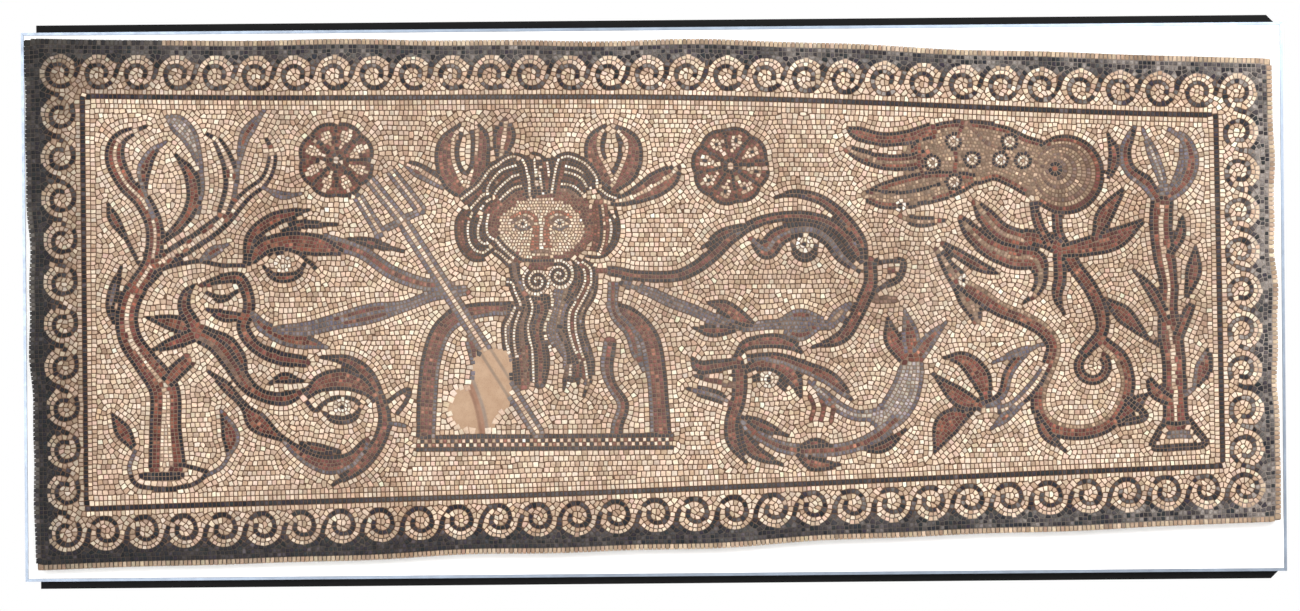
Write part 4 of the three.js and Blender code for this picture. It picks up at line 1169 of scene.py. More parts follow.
def limed(places):
    """How much lime still covers the dark band, in patches: least on the left and along the bottom,
    most along the top and at the right end."""
    x, z = places[:, 0], places[:, 1]
    share = 0.05 + 0.24 * np.clip((x + 900) / 2400, 0, 1) + 0.10 * np.clip(z / 300, -0.6, 1)
    share += 0.22 * np.clip((x - 1300) / 150, 0, 1)
    share *= np.interp(x, [-1500, -1100], [0.2, 1])
    return np.clip(share * (1 + 0.8 * waves(x, z, 190, 31)), 0.01, 0.6)


def stone_colours(kinds, places, dice):
    """One colour for each stone: a draw from its kind, made lighter or darker at random. In the
    border some dark stones are limed over. Painted shade darkens its left end and top left corner,
    and painted light brightens its right end."""
    colour = np.empty((len(kinds), 3))
    for kind, palette in STONES.items():
        here = kinds == kind
        colour[here] = linear(np.array(palette) / 255.0)[dice.integers(0, len(palette), here.sum())]
    spread = np.where(np.isin(kinds, list("CFWE")), 0.13, 0.24)
    light = np.exp(dice.normal(0, 1, len(kinds)) * spread)[:, None]
    colour = colour * light * (1 + dice.normal(0, 0.02, colour.shape))
    border = edge_depth(places) < BORDER - 10
    # painted shade towards the left end and the top left corner of the border, painted light towards its
    # right end
    along = np.interp(places[border, :1], [-1530, -1250, -700, 1250, 1450], [0.60, 0.74, 1, 1, 1.14])
    corner = np.exp(-((places[border] - OUTER[0]) ** 2).sum(1, keepdims=True) / (2 * BORDER ** 2))
    colour[border] *= along * (1 - 0.45 * corner)
    dark = border & (kinds == "D")
    share = (limed(places[dark]) * dice.uniform(0, 1, dark.sum()) ** 3 * 2.6)[:, None]
    colour[dark] += np.clip(share, 0, 0.8) * (LIME - colour[dark])
    figure = ~border & np.isin(kinds, list("DGLRBKT"))
    share = np.interp(places[figure, :1], [-900, -600, 100, 700], [0.0, 0.17, 0.13, 0.03])
    colour[figure] += share * (LIME - colour[figure])
    return np.clip(colour, 0, 1)


def mesh_object(name, points, faces, sizes, material):
    """A mesh object from points in millimetres and faces as one run of corners with their counts."""
    mesh = bpy.data.meshes.new(name)
    mesh.vertices.add(len(points))
    mesh.vertices.foreach_set("co", (np.asarray(points, np.float32) * MM).ravel())
    mesh.loops.add(len(faces))
    mesh.loops.foreach_set("vertex_index", np.asarray(faces, np.int32))
    mesh.polygons.add(len(sizes))
    starts = np.concatenate([[0], np.cumsum(sizes)[:-1]])
    mesh.polygons.foreach_set("loop_start", starts.astype(np.int32))
    mesh.update(calc_edges=True)
    mesh.validate(clean_customdata=False)
    mesh.materials.append(material)
    thing = bpy.data.objects.new(name, mesh)
    bpy.context.scene.collection.objects.link(thing)
    return thing


def put_on(piece, nodes=()):
    """Every piece rides on the panel's one body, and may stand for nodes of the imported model."""
    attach(piece, "root")
    if nodes:
        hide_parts(*nodes)
    return piece


def front_map(mesh):
    """A map straight from the front: across the piece's box in x and z."""
    co = np.empty(len(mesh.vertices) * 3, np.float32)
    mesh.vertices.foreach_get("co", co)
    co = co.reshape(-1, 3)[:, [0, 2]]
    low, size = co.min(0), max(np.ptp(co, axis=0))
    corner = np.empty(len(mesh.loops), np.int32)
    mesh.loops.foreach_get("vertex_index", corner)
    layer = mesh.uv_layers.new(name="OFBake")
    layer.uv.foreach_set("vector", ((co[corner] - low) / size).ravel())


def paint_points(mesh, colour):
    """A colour for every point, in linear light."""
    layer = mesh.attributes.new("stone_colour", "FLOAT_COLOR", "POINT")
    layer.data.foreach_set("color", np.column_stack([colour * TONE, np.ones(len(colour))])
                           .astype(np.float32).ravel())


def stones_object(name, stones, seed, material, sizes):
    """Stones as one mesh. Each is a face, a worn rim that falls back from it, and sides that flare
    into the mortar: three rings of the same outline at three depths, closed behind."""
    dice = np.random.default_rng(seed)
    corners, count, places, kinds = [stones[key] for key in ("corners", "count", "places", "kind")]
    colour = stone_colours(kinds, places, dice)
    chip = dice.uniform(0, 1, len(count))
    rise = dice.uniform(0.0, sizes.unevenness, len(count))
    tilt = dice.normal(0, 0.018, (len(count), 2))
    deep = np.where(np.isin(kinds, ["E", "N"]), sizes.tessera, sizes.bedding)
    points, faces, sides, tints, chips, rims = [], [], [], [], [], []
    base = 0
    for n in np.unique(count):
        here = np.nonzero(count == n)[0]
        outline = corners[here, :n]
        middle = places[here][:, None]
        out = outline - middle
        reach = np.linalg.norm(out, axis=2, keepdims=True)
        face = middle + out * (1 - sizes.rim / np.maximum(reach, 2))
        lean = (out * tilt[here][:, None]).sum(2) + rise[here][:, None]
        rings = []
        for ring, depth in ((face, lean), (outline, lean + sizes.rim * 0.8),
                            (outline + out / reach * 0.3, deep[here][:, None] + 0 * lean)):
            rings.append(np.stack([ring[..., 0], FACE + 0.05 + depth, ring[..., 1]], 2))
        points.append(np.stack(rings, 1).reshape(-1, 3))
        at = base + np.arange(len(here))[:, None] * 3 * n
        step = np.arange(n)
        after = (step + 1) % n
        faces.append((at + step).ravel())
        sides.append(np.full(len(here), n))
        for level in (0, 1):
            quad = np.stack([step, step + n, after + n, after], 1).ravel() + level * n
            faces.append((at + quad).ravel())
            sides.append(np.full(len(here) * n, 4))
        faces.append((at + 2 * n + step[::-1]).ravel())
        sides.append(np.full(len(here), n))
        base += len(here) * 3 * n
        tints.append(np.repeat(colour[here], 3 * n, axis=0))
        chips.append(np.repeat(chip[here], 3 * n))
        # rim is 1 on the worn rim and the sides: the mask for their painted shade and dirt
        rims.append(np.tile(np.repeat([0.0, 1.0, 1.0], n), len(here)))
    thing = mesh_object(name, np.concatenate(points), np.concatenate(faces), np.concatenate(sides),
                        material)
    mesh = thing.data
    paint_points(mesh, np.concatenate(tints))
    for label, values in (("chip", chips), ("rim", rims)):
        layer = mesh.attributes.new(label, "FLOAT", "POINT")
        layer.data.foreach_set("value", np.concatenate(values).astype(np.float32))
    front_map(mesh)
    return thing


def grid_faces(rows, columns, flip=False):
    """Quads of a grid of points, row after row."""
    at = (np.arange(rows - 1)[:, None] * columns + np.arange(columns - 1)).ravel()
    quad = np.stack([at, at + columns, at + columns + 1, at + 1], 1)
    return quad[:, ::-1] if flip else quad


def waves(x, z, scale, seed):
    """Smooth unevenness between -1 and 1: a sum of five sine waves with random ways and lengths."""
    dice = np.random.default_rng(seed)
    total = 0
    for _ in range(5):
        way, length, shift = dice.uniform(0, np.pi), scale * dice.uniform(0.5, 1.6), dice.uniform(0, 6)
        total = total + np.sin((x * np.cos(way) + z * np.sin(way)) * 2 * np.pi / length + shift)
    return total / 5


def slab_point(u, v, inset):
    """The slab's face as a Coons patch: a mix of its four wandering edges less that of its corners."""
    share = inset / BORDER
    top, right = border_point(0, u, share), border_point(1, v, share)
    bottom, left = border_point(2, 1 - u, share), border_point(3, 1 - v, share)
    u, v = u[..., None], v[..., None]
    corner = [border_point(k, 0.0, share) for k in range(4)]
    mixed = ((1 - v) * ((1 - u) * corner[0] + u * corner[1])
             + v * ((1 - u) * corner[3] + u * corner[2]))
    return (1 - v) * top + v * bottom + (1 - u) * left + u * right - mixed


def mortar_object(material, sizes, chart):
    """The mortar bed: an uneven face between the stones, rough sides in layers and a flat back."""
    rows, columns = 120, 290
    v, u = np.meshgrid(np.linspace(0, 1, rows), np.linspace(0, 1, columns), indexing="ij")
    face = slab_point(u, v, 1.5)
    depth = FACE + sizes.joint_depth + 0.25 * waves(face[..., 0], face[..., 1], 60, 3)
    front = np.stack([face[..., 0], depth, face[..., 1]], 2).reshape(-1, 3)
    back = front.copy()
    back[:, 1] = BACK
    ring = np.concatenate([np.arange(columns), columns * np.arange(1, rows) + columns - 1,
                           (rows - 1) * columns + np.arange(columns - 2, -1, -1),
                           columns * np.arange(rows - 2, 0, -1)])
    points, faces = [front], [grid_faces(rows, columns)]
    last, base = ring, len(front)
    middle = front[:, [0, 2]].mean(0)
    for level, share in enumerate((0.25, 0.33, 0.5, 0.72, 0.9)):
        rim = front[ring].copy()
        rim[:, 1] = FACE + sizes.joint_depth + share * (BACK - FACE - sizes.joint_depth)
        out = np.sign(rim[:, [0, 2]] - middle)
        chew = 1.2 + 1.1 * waves(rim[:, 0], rim[:, 2], 45, 20 + level)
        rim[:, [0, 2]] -= out * chew[:, None] * (np.abs(rim[:, [0, 2]] - middle) > 400)
        points.append(rim)
        now = base + np.arange(len(ring))
        faces.append(np.stack([last, np.roll(last, -1), np.roll(now, -1), now], 1)[:, ::-1])
        last, base = now, base + len(ring)
    points.append(back)
    now = base + ring
    faces.append(np.stack([last, np.roll(last, -1), np.roll(now, -1), now], 1)[:, ::-1])
    faces.append(base + grid_faces(rows, columns, flip=True))
    quads = np.concatenate(faces)
    points = np.concatenate(points)
    thing = mesh_object("mortar_bed", points, quads.ravel(), np.full(len(quads), 4), material)
    places = points[:, [0, 2]]
    figure = np.interp(chart.at(places), [-6, 2], [1.0, 0.0])[:, None]
    paint = JOINT_FIELD + figure * (JOINT_FIGURE - JOINT_FIELD)
    border = np.interp(edge_depth(places), [42, 60], [1.0, 0.0])[:, None]
    dark = JOINT_BORDER + np.clip(limed(places)[:, None] * 1.7, 0, 1) * (LIME - JOINT_BORDER)
    paint_points(thing.data, paint + border * (dark - paint))
    return thing


def repair_object(material, sizes):
    """The plaster repair: rings from its middle to its outline, gently uneven, its rim turned down.
    Bands of colour run where the shaft and the cloak's edge were painted across it."""
    radius, centre = repair_outline()
    rings, around = 64, len(radius) - 1
    share = np.concatenate([np.linspace(0.01, 1, rings), [1.012, 1.02]])[:, None]
    angle = np.linspace(-np.pi, np.pi, around, endpoint=False)[None]
    x = centre[0] + share * radius[:-1] * np.cos(angle)
    z = centre[1] + share * radius[:-1] * np.sin(angle)
    depth = FACE + 0.9 + 0.35 * waves(x, z, 90, 8) + 0.12 * waves(x, z, 18, 9) + 0 * share
    depth[-3] += 0.3
    depth[-2] += 1.2
    depth[-1] = FACE + sizes.tessera - 0.5
    points = np.stack([x, depth, z], 2).reshape(-1, 3)
    at = (np.arange(rings + 1)[:, None] * around + np.arange(around)).ravel()
    after = (np.arange(rings + 1)[:, None] * around + (np.arange(around) + 1) % around).ravel()
    quads = np.stack([at, at + around, after + around, after], 1)
    caps = np.concatenate([np.arange(around), (rings + 1) * around + np.arange(around)[::-1]])
    faces = np.concatenate([quads.ravel(), caps])
    counts = np.concatenate([np.full(len(quads), 4), [around, around]])
    thing = mesh_object("plaster_repair", points, faces, counts, material)
    paint = np.tile(linear([0.735, 0.60, 0.49]), (len(points), 1))
    px, pz = points[:, 0], points[:, 2]
    top, foot = np.array(TRIDENT[0][1][:2]), np.array(TRIDENT[0][-1][:2])
    way = (foot - top) / np.linalg.norm(foot - top)
    beside = (px - top[0]) * way[1] - (pz - top[1]) * way[0]
    for offset in (-13, 13):
        line = np.clip(1.6 - np.abs(beside - offset) / 3.2, 0, 1)[:, None]
        paint = paint * (1 - 0.75 * line) + 0.75 * line * linear([0.38, 0.36, 0.36])
    edge = px + 446 + 0.24 * (pz + 200) + 6 * np.sin((pz + 200) / 40)
    for offset, colour in ((-9, [0.42, 0.20, 0.17]), (-1, [0.55, 0.33, 0.27]), (7, [0.47, 0.44, 0.44])):
        line = (np.clip(1.5 - np.abs(edge - offset) / 4.5, 0, 1) * (pz < -125))[:, None]
        paint = paint * (1 - 0.85 * line) + 0.85 * line * linear(colour)
    paint_points(thing.data, paint)
    front_map(thing.data)
    return thing

# ---- materials ----


class Nodes:
    """A node tree that is written as short lines: add a node, set its values, link its sockets."""

    def __init__(self, tree):
        self.tree = tree
        tree.nodes.clear()

    def put(self, socket, value):
        """Links a socket to another, or sets its plain value."""
        if isinstance(value, bpy.types.NodeSocket):
            self.tree.links.new(value, socket)
        else:
            socket.default_value = value

    def add(self, kind, values=None, **settings):
        node = self.tree.nodes.new(kind)
        for key, value in settings.items():
            setattr(node, key, value)
        for key, value in (values or {}).items():
            self.put(node.inputs[key], value)
        return node

    def where(self):
        return self.add("ShaderNodeTexCoord").outputs["Object"]

    def painted(self, name, output="Fac"):
        return self.add("ShaderNodeAttribute", attribute_name=name).outputs[output]

    def noise(self, where, scale, detail=3.0, roughness=0.55, w=None):
        values = {"Vector": where, "Scale": scale, "Detail": detail, "Roughness": roughness}
        if w is not None:
            values["W"] = w
        kind = "4D" if w is not None else "3D"
        return self.add("ShaderNodeTexNoise", values, noise_dimensions=kind).outputs["Fac"]

    def ramp(self, value, low, high, start=0.0, stop=1.0):
        """The value's place between low and high, as a number from start to stop."""
        values = {"Value": value, "From Min": low, "From Max": high, "To Min": start, "To Max": stop}
        return self.add("ShaderNodeMapRange", values).outputs["Result"]

    def maths(self, operation, first, second):
        return self.add("ShaderNodeMath", {0: first, 1: second}, operation=operation).outputs["Value"]

    def blend(self, factor, first, second, how="MIX"):
        """Two colours mixed by a factor."""
        return self.add("ShaderNodeMix", {0: factor, 6: first, 7: second}, data_type="RGBA",
                        blend_type=how).outputs[2]

    def bump(self, height, strength, distance, normal=None):
        values = {"Height": height, "Strength": strength, "Distance": distance}
        if normal is not None:
            values["Normal"] = normal
        return self.add("ShaderNodeBump", values).outputs["Normal"]


def rgba(red, green, blue):
    """A screen colour from 0 to 255 as linear light with full cover."""
    return (*linear(np.array([red, green, blue]) / 255.0), 1.0)


def node_group(name, inputs, outputs):
    """An empty shader node group with named sockets, its writer and what it is given."""
    group = bpy.data.node_groups.new(name, "ShaderNodeTree")
    for label, kind, value in inputs:
        group.interface.new_socket(label, in_out="INPUT", socket_type=kind).default_value = value
    for label, kind in outputs:
        group.interface.new_socket(label, in_out="OUTPUT", socket_type=kind)
    tree = Nodes(group)
    return group, tree, tree.add("NodeGroupInput").outputs


def film_group():
    """What time laid over the whole floor: lime haze in wide soft patches, brown stain between them
    and fine specks of dirt, all on the panel's own coordinates."""
    group, tree, given = node_group("Floor film", [
        ("Colour", "NodeSocketColor", (0.8, 0.7, 0.6, 1.0)),
        ("Haze", "NodeSocketFloat", 0.3), ("Stain", "NodeSocketFloat", 0.3)],
        [("Colour", "NodeSocketColor"), ("Haze mask", "NodeSocketFloat")])
    where = tree.where()
    wide = tree.ramp(tree.noise(where, 2.3, 5.0, 0.6), 0.48, 0.72)
    fine = tree.ramp(tree.noise(where, 55.0, 3.0, 0.6), 0.35, 0.7)
    haze = tree.maths("MULTIPLY", tree.maths("MULTIPLY", wide, fine), given["Haze"])
    brown = tree.ramp(tree.noise(where, 2.7, 5.0, 0.6), 0.45, 0.66)
    specks = tree.ramp(tree.noise(where, 420.0, 2.0, 0.7), 0.62, 0.78, 0.0, 0.6)
    stain = tree.maths("MULTIPLY", tree.maths("MAXIMUM", brown, specks), given["Stain"])
    colour = tree.blend(stain, given["Colour"], rgba(150, 116, 88), "MULTIPLY")
    colour = tree.blend(haze, colour, rgba(182, 172, 160))
    tree.add("NodeGroupOutput", {"Colour": colour, "Haze mask": haze})
    return group


def vein_group():
    """The grain inside one stone, shifted by its own random number so that no two are alike: soft
    clouds, thin veins and pits."""
    group, tree, given = node_group("Stone grain", [
        ("Colour", "NodeSocketColor", (0.5, 0.5, 0.5, 1.0)), ("Chip", "NodeSocketFloat", 0.0),
        ("Contrast", "NodeSocketFloat", 0.3)],
        [("Colour", "NodeSocketColor"), ("Height", "NodeSocketFloat")])
    where = tree.where()
    shift = tree.maths("MULTIPLY", given["Chip"], 40.0)
    clouds = tree.noise(where, 150.0, 4.0, 0.6, w=shift)
    pits = tree.ramp(tree.noise(where, 620.0, 2.0, 0.65, w=shift), 0.30, 0.48)
    light = tree.ramp(clouds, 0.3, 0.7, -1.0, 1.0)
    light = tree.maths("MULTIPLY", light, given["Contrast"])
    light = tree.maths("MULTIPLY", tree.maths("ADD", light, 1.0), tree.ramp(pits, 0, 1, 0.86, 1.0))
    both = tree.add("ShaderNodeCombineColor", {"Red": light, "Green": light, "Blue": light})
    colour = tree.blend(1.0, given["Colour"], both.outputs["Color"], "MULTIPLY")
    height = tree.maths("ADD", tree.maths("MULTIPLY", clouds, 0.5), pits)
    tree.add("NodeGroupOutput", {"Colour": colour, "Height": height})
    return group


def shared(name, make):
    """A node group that is made once and then found again."""
    return bpy.data.node_groups.get(name) or make()


def new_material(name):
    material = bpy.data.materials.new(name)
    material.use_nodes = True
    return material, Nodes(material.node_tree)


def finish_material(tree, colour, roughness, normal, **values):
    """The shader itself: metal where it has a metallic value, and else with a level of shine."""
    shader = tree.add("ShaderNodeBsdfPrincipled", {"Base Color": colour, "Roughness": roughness,
                                                   "Normal": normal})
    labels = {"metallic": "Metallic", "shine": "Specular IOR Level"}
    for key, value in values.items():
        shader.inputs[labels[key]].default_value = value
    tree.add("ShaderNodeOutputMaterial", {"Surface": shader.outputs["BSDF"]})


def stone_material(name, haze, stain, contrast, gloss):
    """Tesserae: each stone's own colour with its grain, dirt and painted shade on its worn rim and
    sides, and the floor's film.
    """
    material, tree = new_material(name)
    grain = tree.add("ShaderNodeGroup", {
        "Colour": tree.painted("stone_colour", "Color"), "Chip": tree.painted("chip"),
        "Contrast": contrast}, node_tree=shared("Stone grain", vein_group)).outputs
    # painted shade and dirt: the worn rim and the sides of every stone are darkened towards brown
    dirt = tree.maths("MULTIPLY", tree.painted("rim"), 0.7)
    rim_shaded_and_dirty = tree.blend(dirt, grain["Colour"], rgba(150, 128, 112), "MULTIPLY")
    film = tree.add("ShaderNodeGroup", {"Colour": rim_shaded_and_dirty, "Haze": haze, "Stain": stain},
                    node_tree=shared("Floor film", film_group)).outputs
    rough = tree.ramp(tree.noise(tree.where(), 30.0, 3.0), 0.3, 0.7, gloss, gloss + 0.22)
    rough = tree.maths("ADD", rough, tree.maths("MULTIPLY", film["Haze mask"], 0.2))
    finish_material(tree, film["Colour"], rough, tree.bump(grain["Height"], 0.35, 0.0004), shine=0.22)
    return material


def mortar_material(sizes):
    """Lime mortar with sand: brown between the pale stones, greyer in the dark border."""
    material, tree = new_material("lime mortar")
    own = tree.painted("stone_colour", "Color")
    where = tree.where()
    sand = tree.noise(where, 700.0, 3.0, 0.7)
    lumps = tree.noise(where, 60.0, 4.0, 0.6)
    tint = tree.blend(tree.ramp(lumps, 0.3, 0.7, 0.0, 0.2), own, (*sizes.mortar_light, 1.0))
    tint = tree.blend(tree.ramp(sand, 0.45, 0.7, 0.0, 0.16), tint, rgba(128, 108, 89))
    film = tree.add("ShaderNodeGroup", {"Colour": tint, "Haze": 0.15, "Stain": 0.2},
                    node_tree=shared("Floor film", film_group))
    normal = tree.bump(sand, 0.6, 0.0008)
    normal = tree.bump(lumps, 0.5, 0.003, normal)
    finish_material(tree, film.outputs["Colour"], tree.ramp(sand, 0.3, 0.7, 0.82, 0.95), normal,
                    shine=0.3)
    return material


def plaster_material():
    """The repair's plaster: its painted colours under trowel marks, fine pits and rubbed patches."""
    material, tree = new_material("painted plaster")
    own = tree.painted("stone_colour", "Color")
    where = tree.where()
    patches = tree.noise(where, 22.0, 5.0, 0.6)
    pits = tree.ramp(tree.noise(where, 480.0, 2.0, 0.6), 0.3, 0.45)
    colour = tree.blend(tree.ramp(patches, 0.35, 0.7, 0.0, 0.45), own, rgba(186, 162, 136))
    colour = tree.blend(tree.ramp(patches, 0.62, 0.3, 0.0, 0.4), colour, rgba(144, 116, 90))
    colour = tree.blend(tree.ramp(pits, 0.0, 1.0, 0.35, 0.0), colour, rgba(112, 86, 66))
    normal = tree.bump(pits, 0.3, 0.0005)
    normal = tree.bump(patches, 0.4, 0.002, normal)
    finish_material(tree, colour, tree.ramp(patches, 0.3, 0.7, 0.7, 0.9), normal,
                    shine=0.35)
    return material


def board_material(sizes):
    """White satin board: a faint orange peel and a little dust."""
    material, tree = new_material("white board")
    where = tree.where()
    peel = tree.noise(where, 420.0, 2.0, 0.5)
    dust = tree.ramp(tree.noise(where, 6.0, 6.0, 0.65), 0.5, 0.8, 0.0, 0.10)
    colour = tree.blend(dust, (*sizes.board_colour, 1.0), rgba(214, 212, 208))
    rough = tree.ramp(tree.noise(where, 14.0, 4.0), 0.3, 0.7, 0.38, 0.52)
    finish_material(tree, colour, rough, tree.bump(peel, 0.12, 0.0003), shine=0.5)
    return material


def aluminium_material(sizes):
    """Anodised aluminium, drawn along its length, with small dents in the shine."""
    material, tree = new_material("anodised aluminium")
    where = tree.where()
    drawn = tree.add("ShaderNodeMapping", {"Vector": where, "Scale": (6.0, 260.0, 6.0)})
    lines = tree.noise(drawn.outputs["Vector"], 9.0, 4.0, 0.7)
    spots = tree.noise(where, 25.0, 5.0, 0.6)
    colour = tree.blend(tree.ramp(spots, 0.3, 0.75, 0.0, 0.5), (*sizes.trim_colour, 1.0),
                        rgba(110, 116, 128))
    rough = tree.ramp(lines, 0.3, 0.7, 0.30, 0.46)
    finish_material(tree, colour, rough, tree.bump(lines, 0.15, 0.0002), metallic=0.9)
    return material


def black_material(sizes):
    """Black powder coat on the steel frame: fine texture, worn a little paler, and dust."""
    material, tree = new_material("black powder coat")
    where = tree.where()
    grit = tree.noise(where, 900.0, 2.0, 0.6)
    wear = tree.ramp(tree.noise(where, 9.0, 6.0, 0.7), 0.5, 0.8, 0.0, 0.3)
    colour = tree.blend(wear, (*sizes.frame_colour, 1.0), rgba(24, 24, 26))
    rough = tree.ramp(grit, 0.3, 0.7, 0.5, 0.65)
    finish_material(tree, colour, rough, tree.bump(grit, 0.25, 0.0003), shine=0.12)
    return material

# ---- the add-on ----


class MosaicSizes(bpy.types.PropertyGroup):
    """What a user would change about the panel."""

    joint: bpy.props.FloatProperty(
        name="Joint", description="Width of the joints between stones, mm", default=1.9, min=0.5)
    joint_depth: bpy.props.FloatProperty(
        name="Joint depth", description="How far the mortar lies behind the stones' faces, mm",
        default=1.7, min=0.2)
    rim: bpy.props.FloatProperty(
        name="Worn rim", description="Width of the worn rim of a stone, mm", default=0.8, min=0.1)
    unevenness: bpy.props.FloatProperty(
        name="Unevenness", description="How far one stone may lie behind another, mm", default=0.45,
        min=0.0)
    tessera: bpy.props.FloatProperty(
        name="Tessera depth", description="Depth of the stones that show at the cut edge, mm",
        default=11.5)
    bedding: bpy.props.FloatProperty(
        name="Bedding", description="Depth to which a stone is modelled inside the mortar, mm",
        default=3.2)
    mortar_light: bpy.props.FloatVectorProperty(
        name="Mortar", description="Colour of the mortar's lighter patches", subtype="COLOR", size=3,
        default=rgba(110, 90, 74)[:3], min=0.0, max=1.0)
    board_colour: bpy.props.FloatVectorProperty(
        name="Board", description="Colour of the backing board", subtype="COLOR", size=3,
        default=rgba(249, 249, 249)[:3], min=0.0, max=1.0)
    trim_colour: bpy.props.FloatVectorProperty(
        name="Edge trim", description="Colour of the aluminium edge", subtype="COLOR", size=3,
        default=rgba(152, 164, 180)[:3], min=0.0, max=1.0)
    frame_colour: bpy.props.FloatVectorProperty(
        name="Frame", description="Colour of the steel frame", subtype="COLOR", size=3,
        default=rgba(7, 7, 8)[:3], min=0.0, max=1.0)


class MosaicStage(bpy.types.PropertyGroup):
    """Light and camera."""

    key: bpy.props.FloatProperty(
        name="Key light", description="Power of the large soft light", default=235.0, unit="POWER")
    fill: bpy.props.FloatProperty(
        name="Fill light", description="Power of the light from the other side", default=110.0,
        unit="POWER")
    sky: bpy.props.FloatProperty(
        name="Sky light", description="Strength of the white room round the panel", default=0.82)
    distance: bpy.props.FloatProperty(
        name="Camera distance", description="From the camera to the faces of the stones",
        default=6.0, unit="LENGTH")
    frame_width: bpy.props.FloatProperty(
        name="Framed width", description="Width of the view at the faces of the stones",
        default=3.1746, unit="LENGTH")


SLOT_FINISH = {
    "tesserae_ground": ("pale tesserae", 0.25, 0.42, 0.20, 0.50),
    "tesserae_dark": ("dark tesserae", 0.08, 0.10, 0.45, 0.50),
    "tesserae_red": ("figure tesserae", 0.12, 0.18, 0.32, 0.50),
    "tesserae_grey": ("grey tesserae", 0.25, 0.15, 0.25, 0.48),
    "tesserae_brown": ("brown tesserae", 0.20, 0.15, 0.25, 0.48),
}                                             # name, haze, stain, contrast and roughness
AIM = (-0.0098, -0.0088)                      # x and z that the camera faces, metres
ROLL = np.radians(0.5)                        # of the camera
LAYOUT = []


def layout(sizes):
    """The stones and their chart, laid once and shared by every operator."""
    if not LAYOUT:
        LAYOUT.extend(lay_panel(sizes.joint))
    return LAYOUT


def set_stones(sizes, name, seed, slot, nodes=()):
    """One piece of the picture from its own stones, in its slot's finish."""
    stones, _ = layout(sizes)
    finish = SLOT_FINISH[slot]
    material = bpy.data.materials.get(finish[0]) or stone_material(*finish)
    own = pick(stones, stones["piece"] == name)
    put_on(stones_object(name, own, seed, material, sizes), nodes)


class MOSAIC_OT_mortar(bpy.types.Operator):
    """Make the mortar bed that holds the stones"""

    bl_idname = "mosaic.mortar"
    bl_label = "Mortar bed"

    def execute(self, context):
        sizes = context.scene.mosaic_sizes
        bed = mortar_object(mortar_material(sizes), sizes, layout(sizes)[1])
        put_on(bed, ["mosaic_slab"])
        return {"FINISHED"}


class MOSAIC_OT_ground(bpy.types.Operator):
    """Lay the pale ground in three sheets, and the stones of the cut edge"""

    bl_idname = "mosaic.ground"
    bl_label = "Ground tesserae"

    def execute(self, context):
        for k, name in enumerate(GROUND_SHEETS):
            set_stones(context.scene.mosaic_sizes, name, 30 + k, "tesserae_ground")
        return {"FINISHED"}


class MOSAIC_OT_border(bpy.types.Operator):
    """Lay the running waves and the dark line round the picture"""

    bl_idname = "mosaic.border"
    bl_label = "Wave border"

    def execute(self, context):
        for k, name in enumerate(("wave_border", "picture_line")):
            set_stones(context.scene.mosaic_sizes, name, 40 + k, "tesserae_dark", ["inlay_" + name])
        return {"FINISHED"}


class MOSAIC_OT_figures(bpy.types.Operator):
    """Lay every figure of the picture, each as its own piece"""

    bl_idname = "mosaic.figures"
    bl_label = "Figures"

    def execute(self, context):
        for k, name in enumerate(FIGURES):
            set_stones(context.scene.mosaic_sizes, name, 50 + k, SLOTS.get(name, "tesserae_red"),
                       NODES.get(name, ["inlay_" + name]))
        return {"FINISHED"}


class MOSAIC_OT_repair(bpy.types.Operator):
    """Make the painted plaster of the repaired area"""

    bl_idname = "mosaic.repair"
    bl_label = "Plaster repair"

    def execute(self, context):
        sizes = context.scene.mosaic_sizes
        put_on(repair_object(plaster_material(), sizes), ["repair_patch"])
        return {"FINISHED"}


class MOSAIC_OT_support(bpy.types.Operator):
    """Finish the board, its aluminium edge and the steel frame behind it"""

    bl_idname = "mosaic.support"
    bl_label = "Board and frame"

    def execute(self, context):
        sizes = context.scene.mosaic_sizes
        board, trim, black = board_material(sizes), aluminium_material(sizes), black_material(sizes)
        for name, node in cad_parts.items():
            finish = {"backing": board, "edge": trim, "support": black}.get(name.split("_")[0])
            if finish:
                node.data.materials.clear()
                node.data.materials.append(finish)
        return {"FINISHED"}


def area_light(name, power, size, place, target):
    """A square soft light that faces a point."""
    light = bpy.data.lights.new(name, "AREA")
    light.energy, light.size, light.shape = power, size, "SQUARE"
    thing = bpy.data.objects.new(name, light)
    thing.location = place
    thing.rotation_euler = (Vector(target) - Vector(place)).to_track_quat("-Z", "Y").to_euler()
    bpy.context.scene.collection.objects.link(thing)


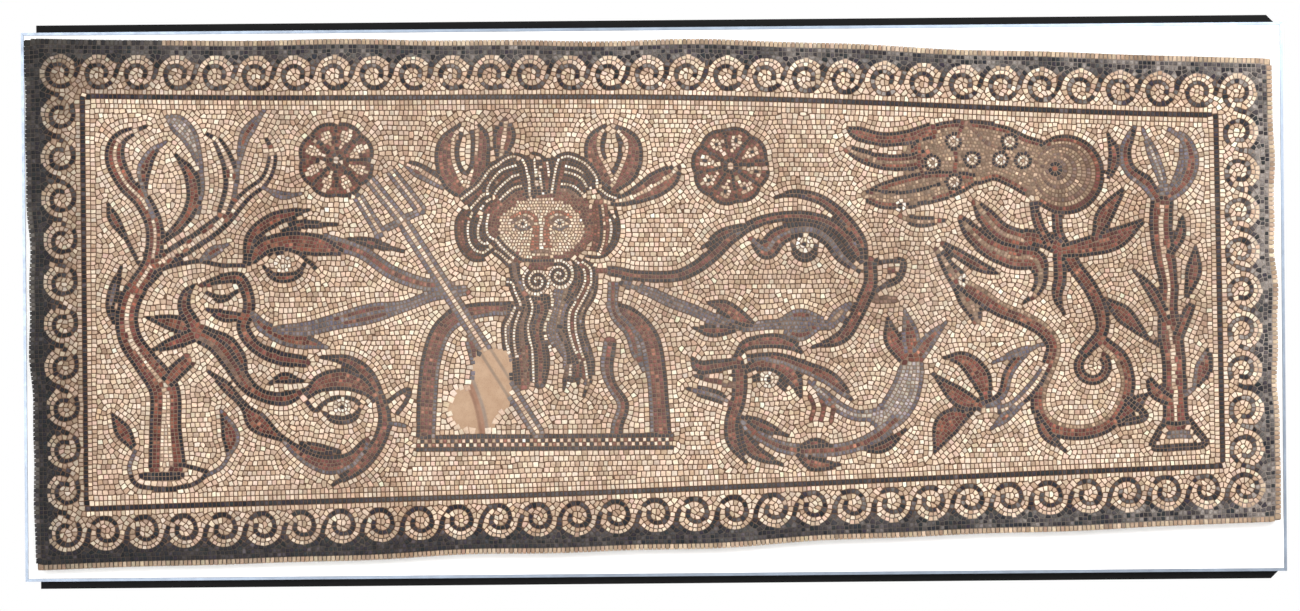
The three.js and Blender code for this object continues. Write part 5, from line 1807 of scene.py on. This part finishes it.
class MOSAIC_OT_stage(bpy.types.Operator):
    """Set the floor, the light and the camera"""

    bl_idname = "mosaic.stage"
    bl_label = "Stage"

    def execute(self, context):
        scene = context.scene
        stage = scene.mosaic_stage
        x, y = np.meshgrid(np.linspace(-4, 4, 9), np.linspace(-4, 2, 7), indexing="ij")
        points = np.stack([x, y, np.full(x.shape, CAD_BOX[0][2] - 0.35)], 2).reshape(-1, 3)
        material, tree = new_material("pale floor")
        cloud = tree.noise(tree.where(), 1.5, 4.0)
        colour = tree.blend(tree.ramp(cloud, 0.3, 0.7, 0.0, 0.3), rgba(240, 239, 237),
                            rgba(226, 225, 222))
        finish_material(tree, colour, tree.ramp(cloud, 0.3, 0.7, 0.5, 0.7),
                        tree.bump(cloud, 0.05, 0.001))
        quads = grid_faces(*x.shape, flip=True)
        floor = mesh_object("studio_floor", points / MM, quads.ravel(), np.full(len(quads), 4),
                            material)
        area_light("key", stage.key, 3.0, (2.6, -4.8, 2.6), (0, 0, 0))
        area_light("fill", stage.fill, 3.0, (-2.6, -5.0, 0.2), (0, 0, 0))
        area_light("rear", stage.fill * 0.3, 2.5, (-1.5, 3.5, 2.2), (0, 0, 0))
        world = bpy.data.worlds.new("studio")
        world.use_nodes = True
        room = Nodes(world.node_tree)
        seen = room.add("ShaderNodeLightPath").outputs["Is Camera Ray"]
        strength = room.ramp(seen, 0.0, 1.0, stage.sky, 1.0)
        light = room.add("ShaderNodeBackground", {"Color": (1.0, 1.0, 1.0, 1.0), "Strength": strength})
        room.add("ShaderNodeOutputWorld", {"Surface": light.outputs["Background"]})
        scene.world = world
        scene.view_settings.view_transform = "Standard"
        camera = bpy.data.cameras.new("camera")
        camera.sensor_width = 36.0
        camera.lens = camera.sensor_width * stage.distance / stage.frame_width
        thing = bpy.data.objects.new("camera", camera)
        thing.location = (AIM[0], FACE * MM - stage.distance, AIM[1])
        thing.rotation_euler = (np.pi / 2, ROLL, 0.0)
        scene.collection.objects.link(thing)
        scene.camera = thing
        return {"FINISHED"}


STEPS = (MOSAIC_OT_mortar, MOSAIC_OT_ground, MOSAIC_OT_border, MOSAIC_OT_figures,
         MOSAIC_OT_repair, MOSAIC_OT_support, MOSAIC_OT_stage)


class MOSAIC_PT_panel(bpy.types.Panel):
    """Lists the steps in order"""

    bl_label = "Mosaic panel"
    bl_idname = "MOSAIC_PT_panel"
    bl_space_type = "VIEW_3D"
    bl_region_type = "UI"
    bl_category = "Mosaic"

    def draw(self, context):
        sizes, stage = context.scene.mosaic_sizes, context.scene.mosaic_stage
        for group in (sizes, stage):
            box = self.layout.box()
            for name in group.bl_rna.properties.keys():
                if name not in ("rna_type", "name"):
                    box.prop(group, name)
        for step in STEPS:
            self.layout.operator(step.bl_idname)


CLASSES = (MosaicSizes, MosaicStage, *STEPS, MOSAIC_PT_panel)


def register():
    for cls in CLASSES:
        bpy.utils.register_class(cls)
    bpy.types.Scene.mosaic_sizes = bpy.props.PointerProperty(type=MosaicSizes)
    bpy.types.Scene.mosaic_stage = bpy.props.PointerProperty(type=MosaicStage)


def unregister():
    del bpy.types.Scene.mosaic_stage
    del bpy.types.Scene.mosaic_sizes
    for cls in reversed(CLASSES):
        bpy.utils.unregister_class(cls)


def main():
    register()
    for step in STEPS:
        group, name = step.bl_idname.split(".")
        getattr(getattr(bpy.ops, group), name)()


if __name__ == "__main__":
    main()
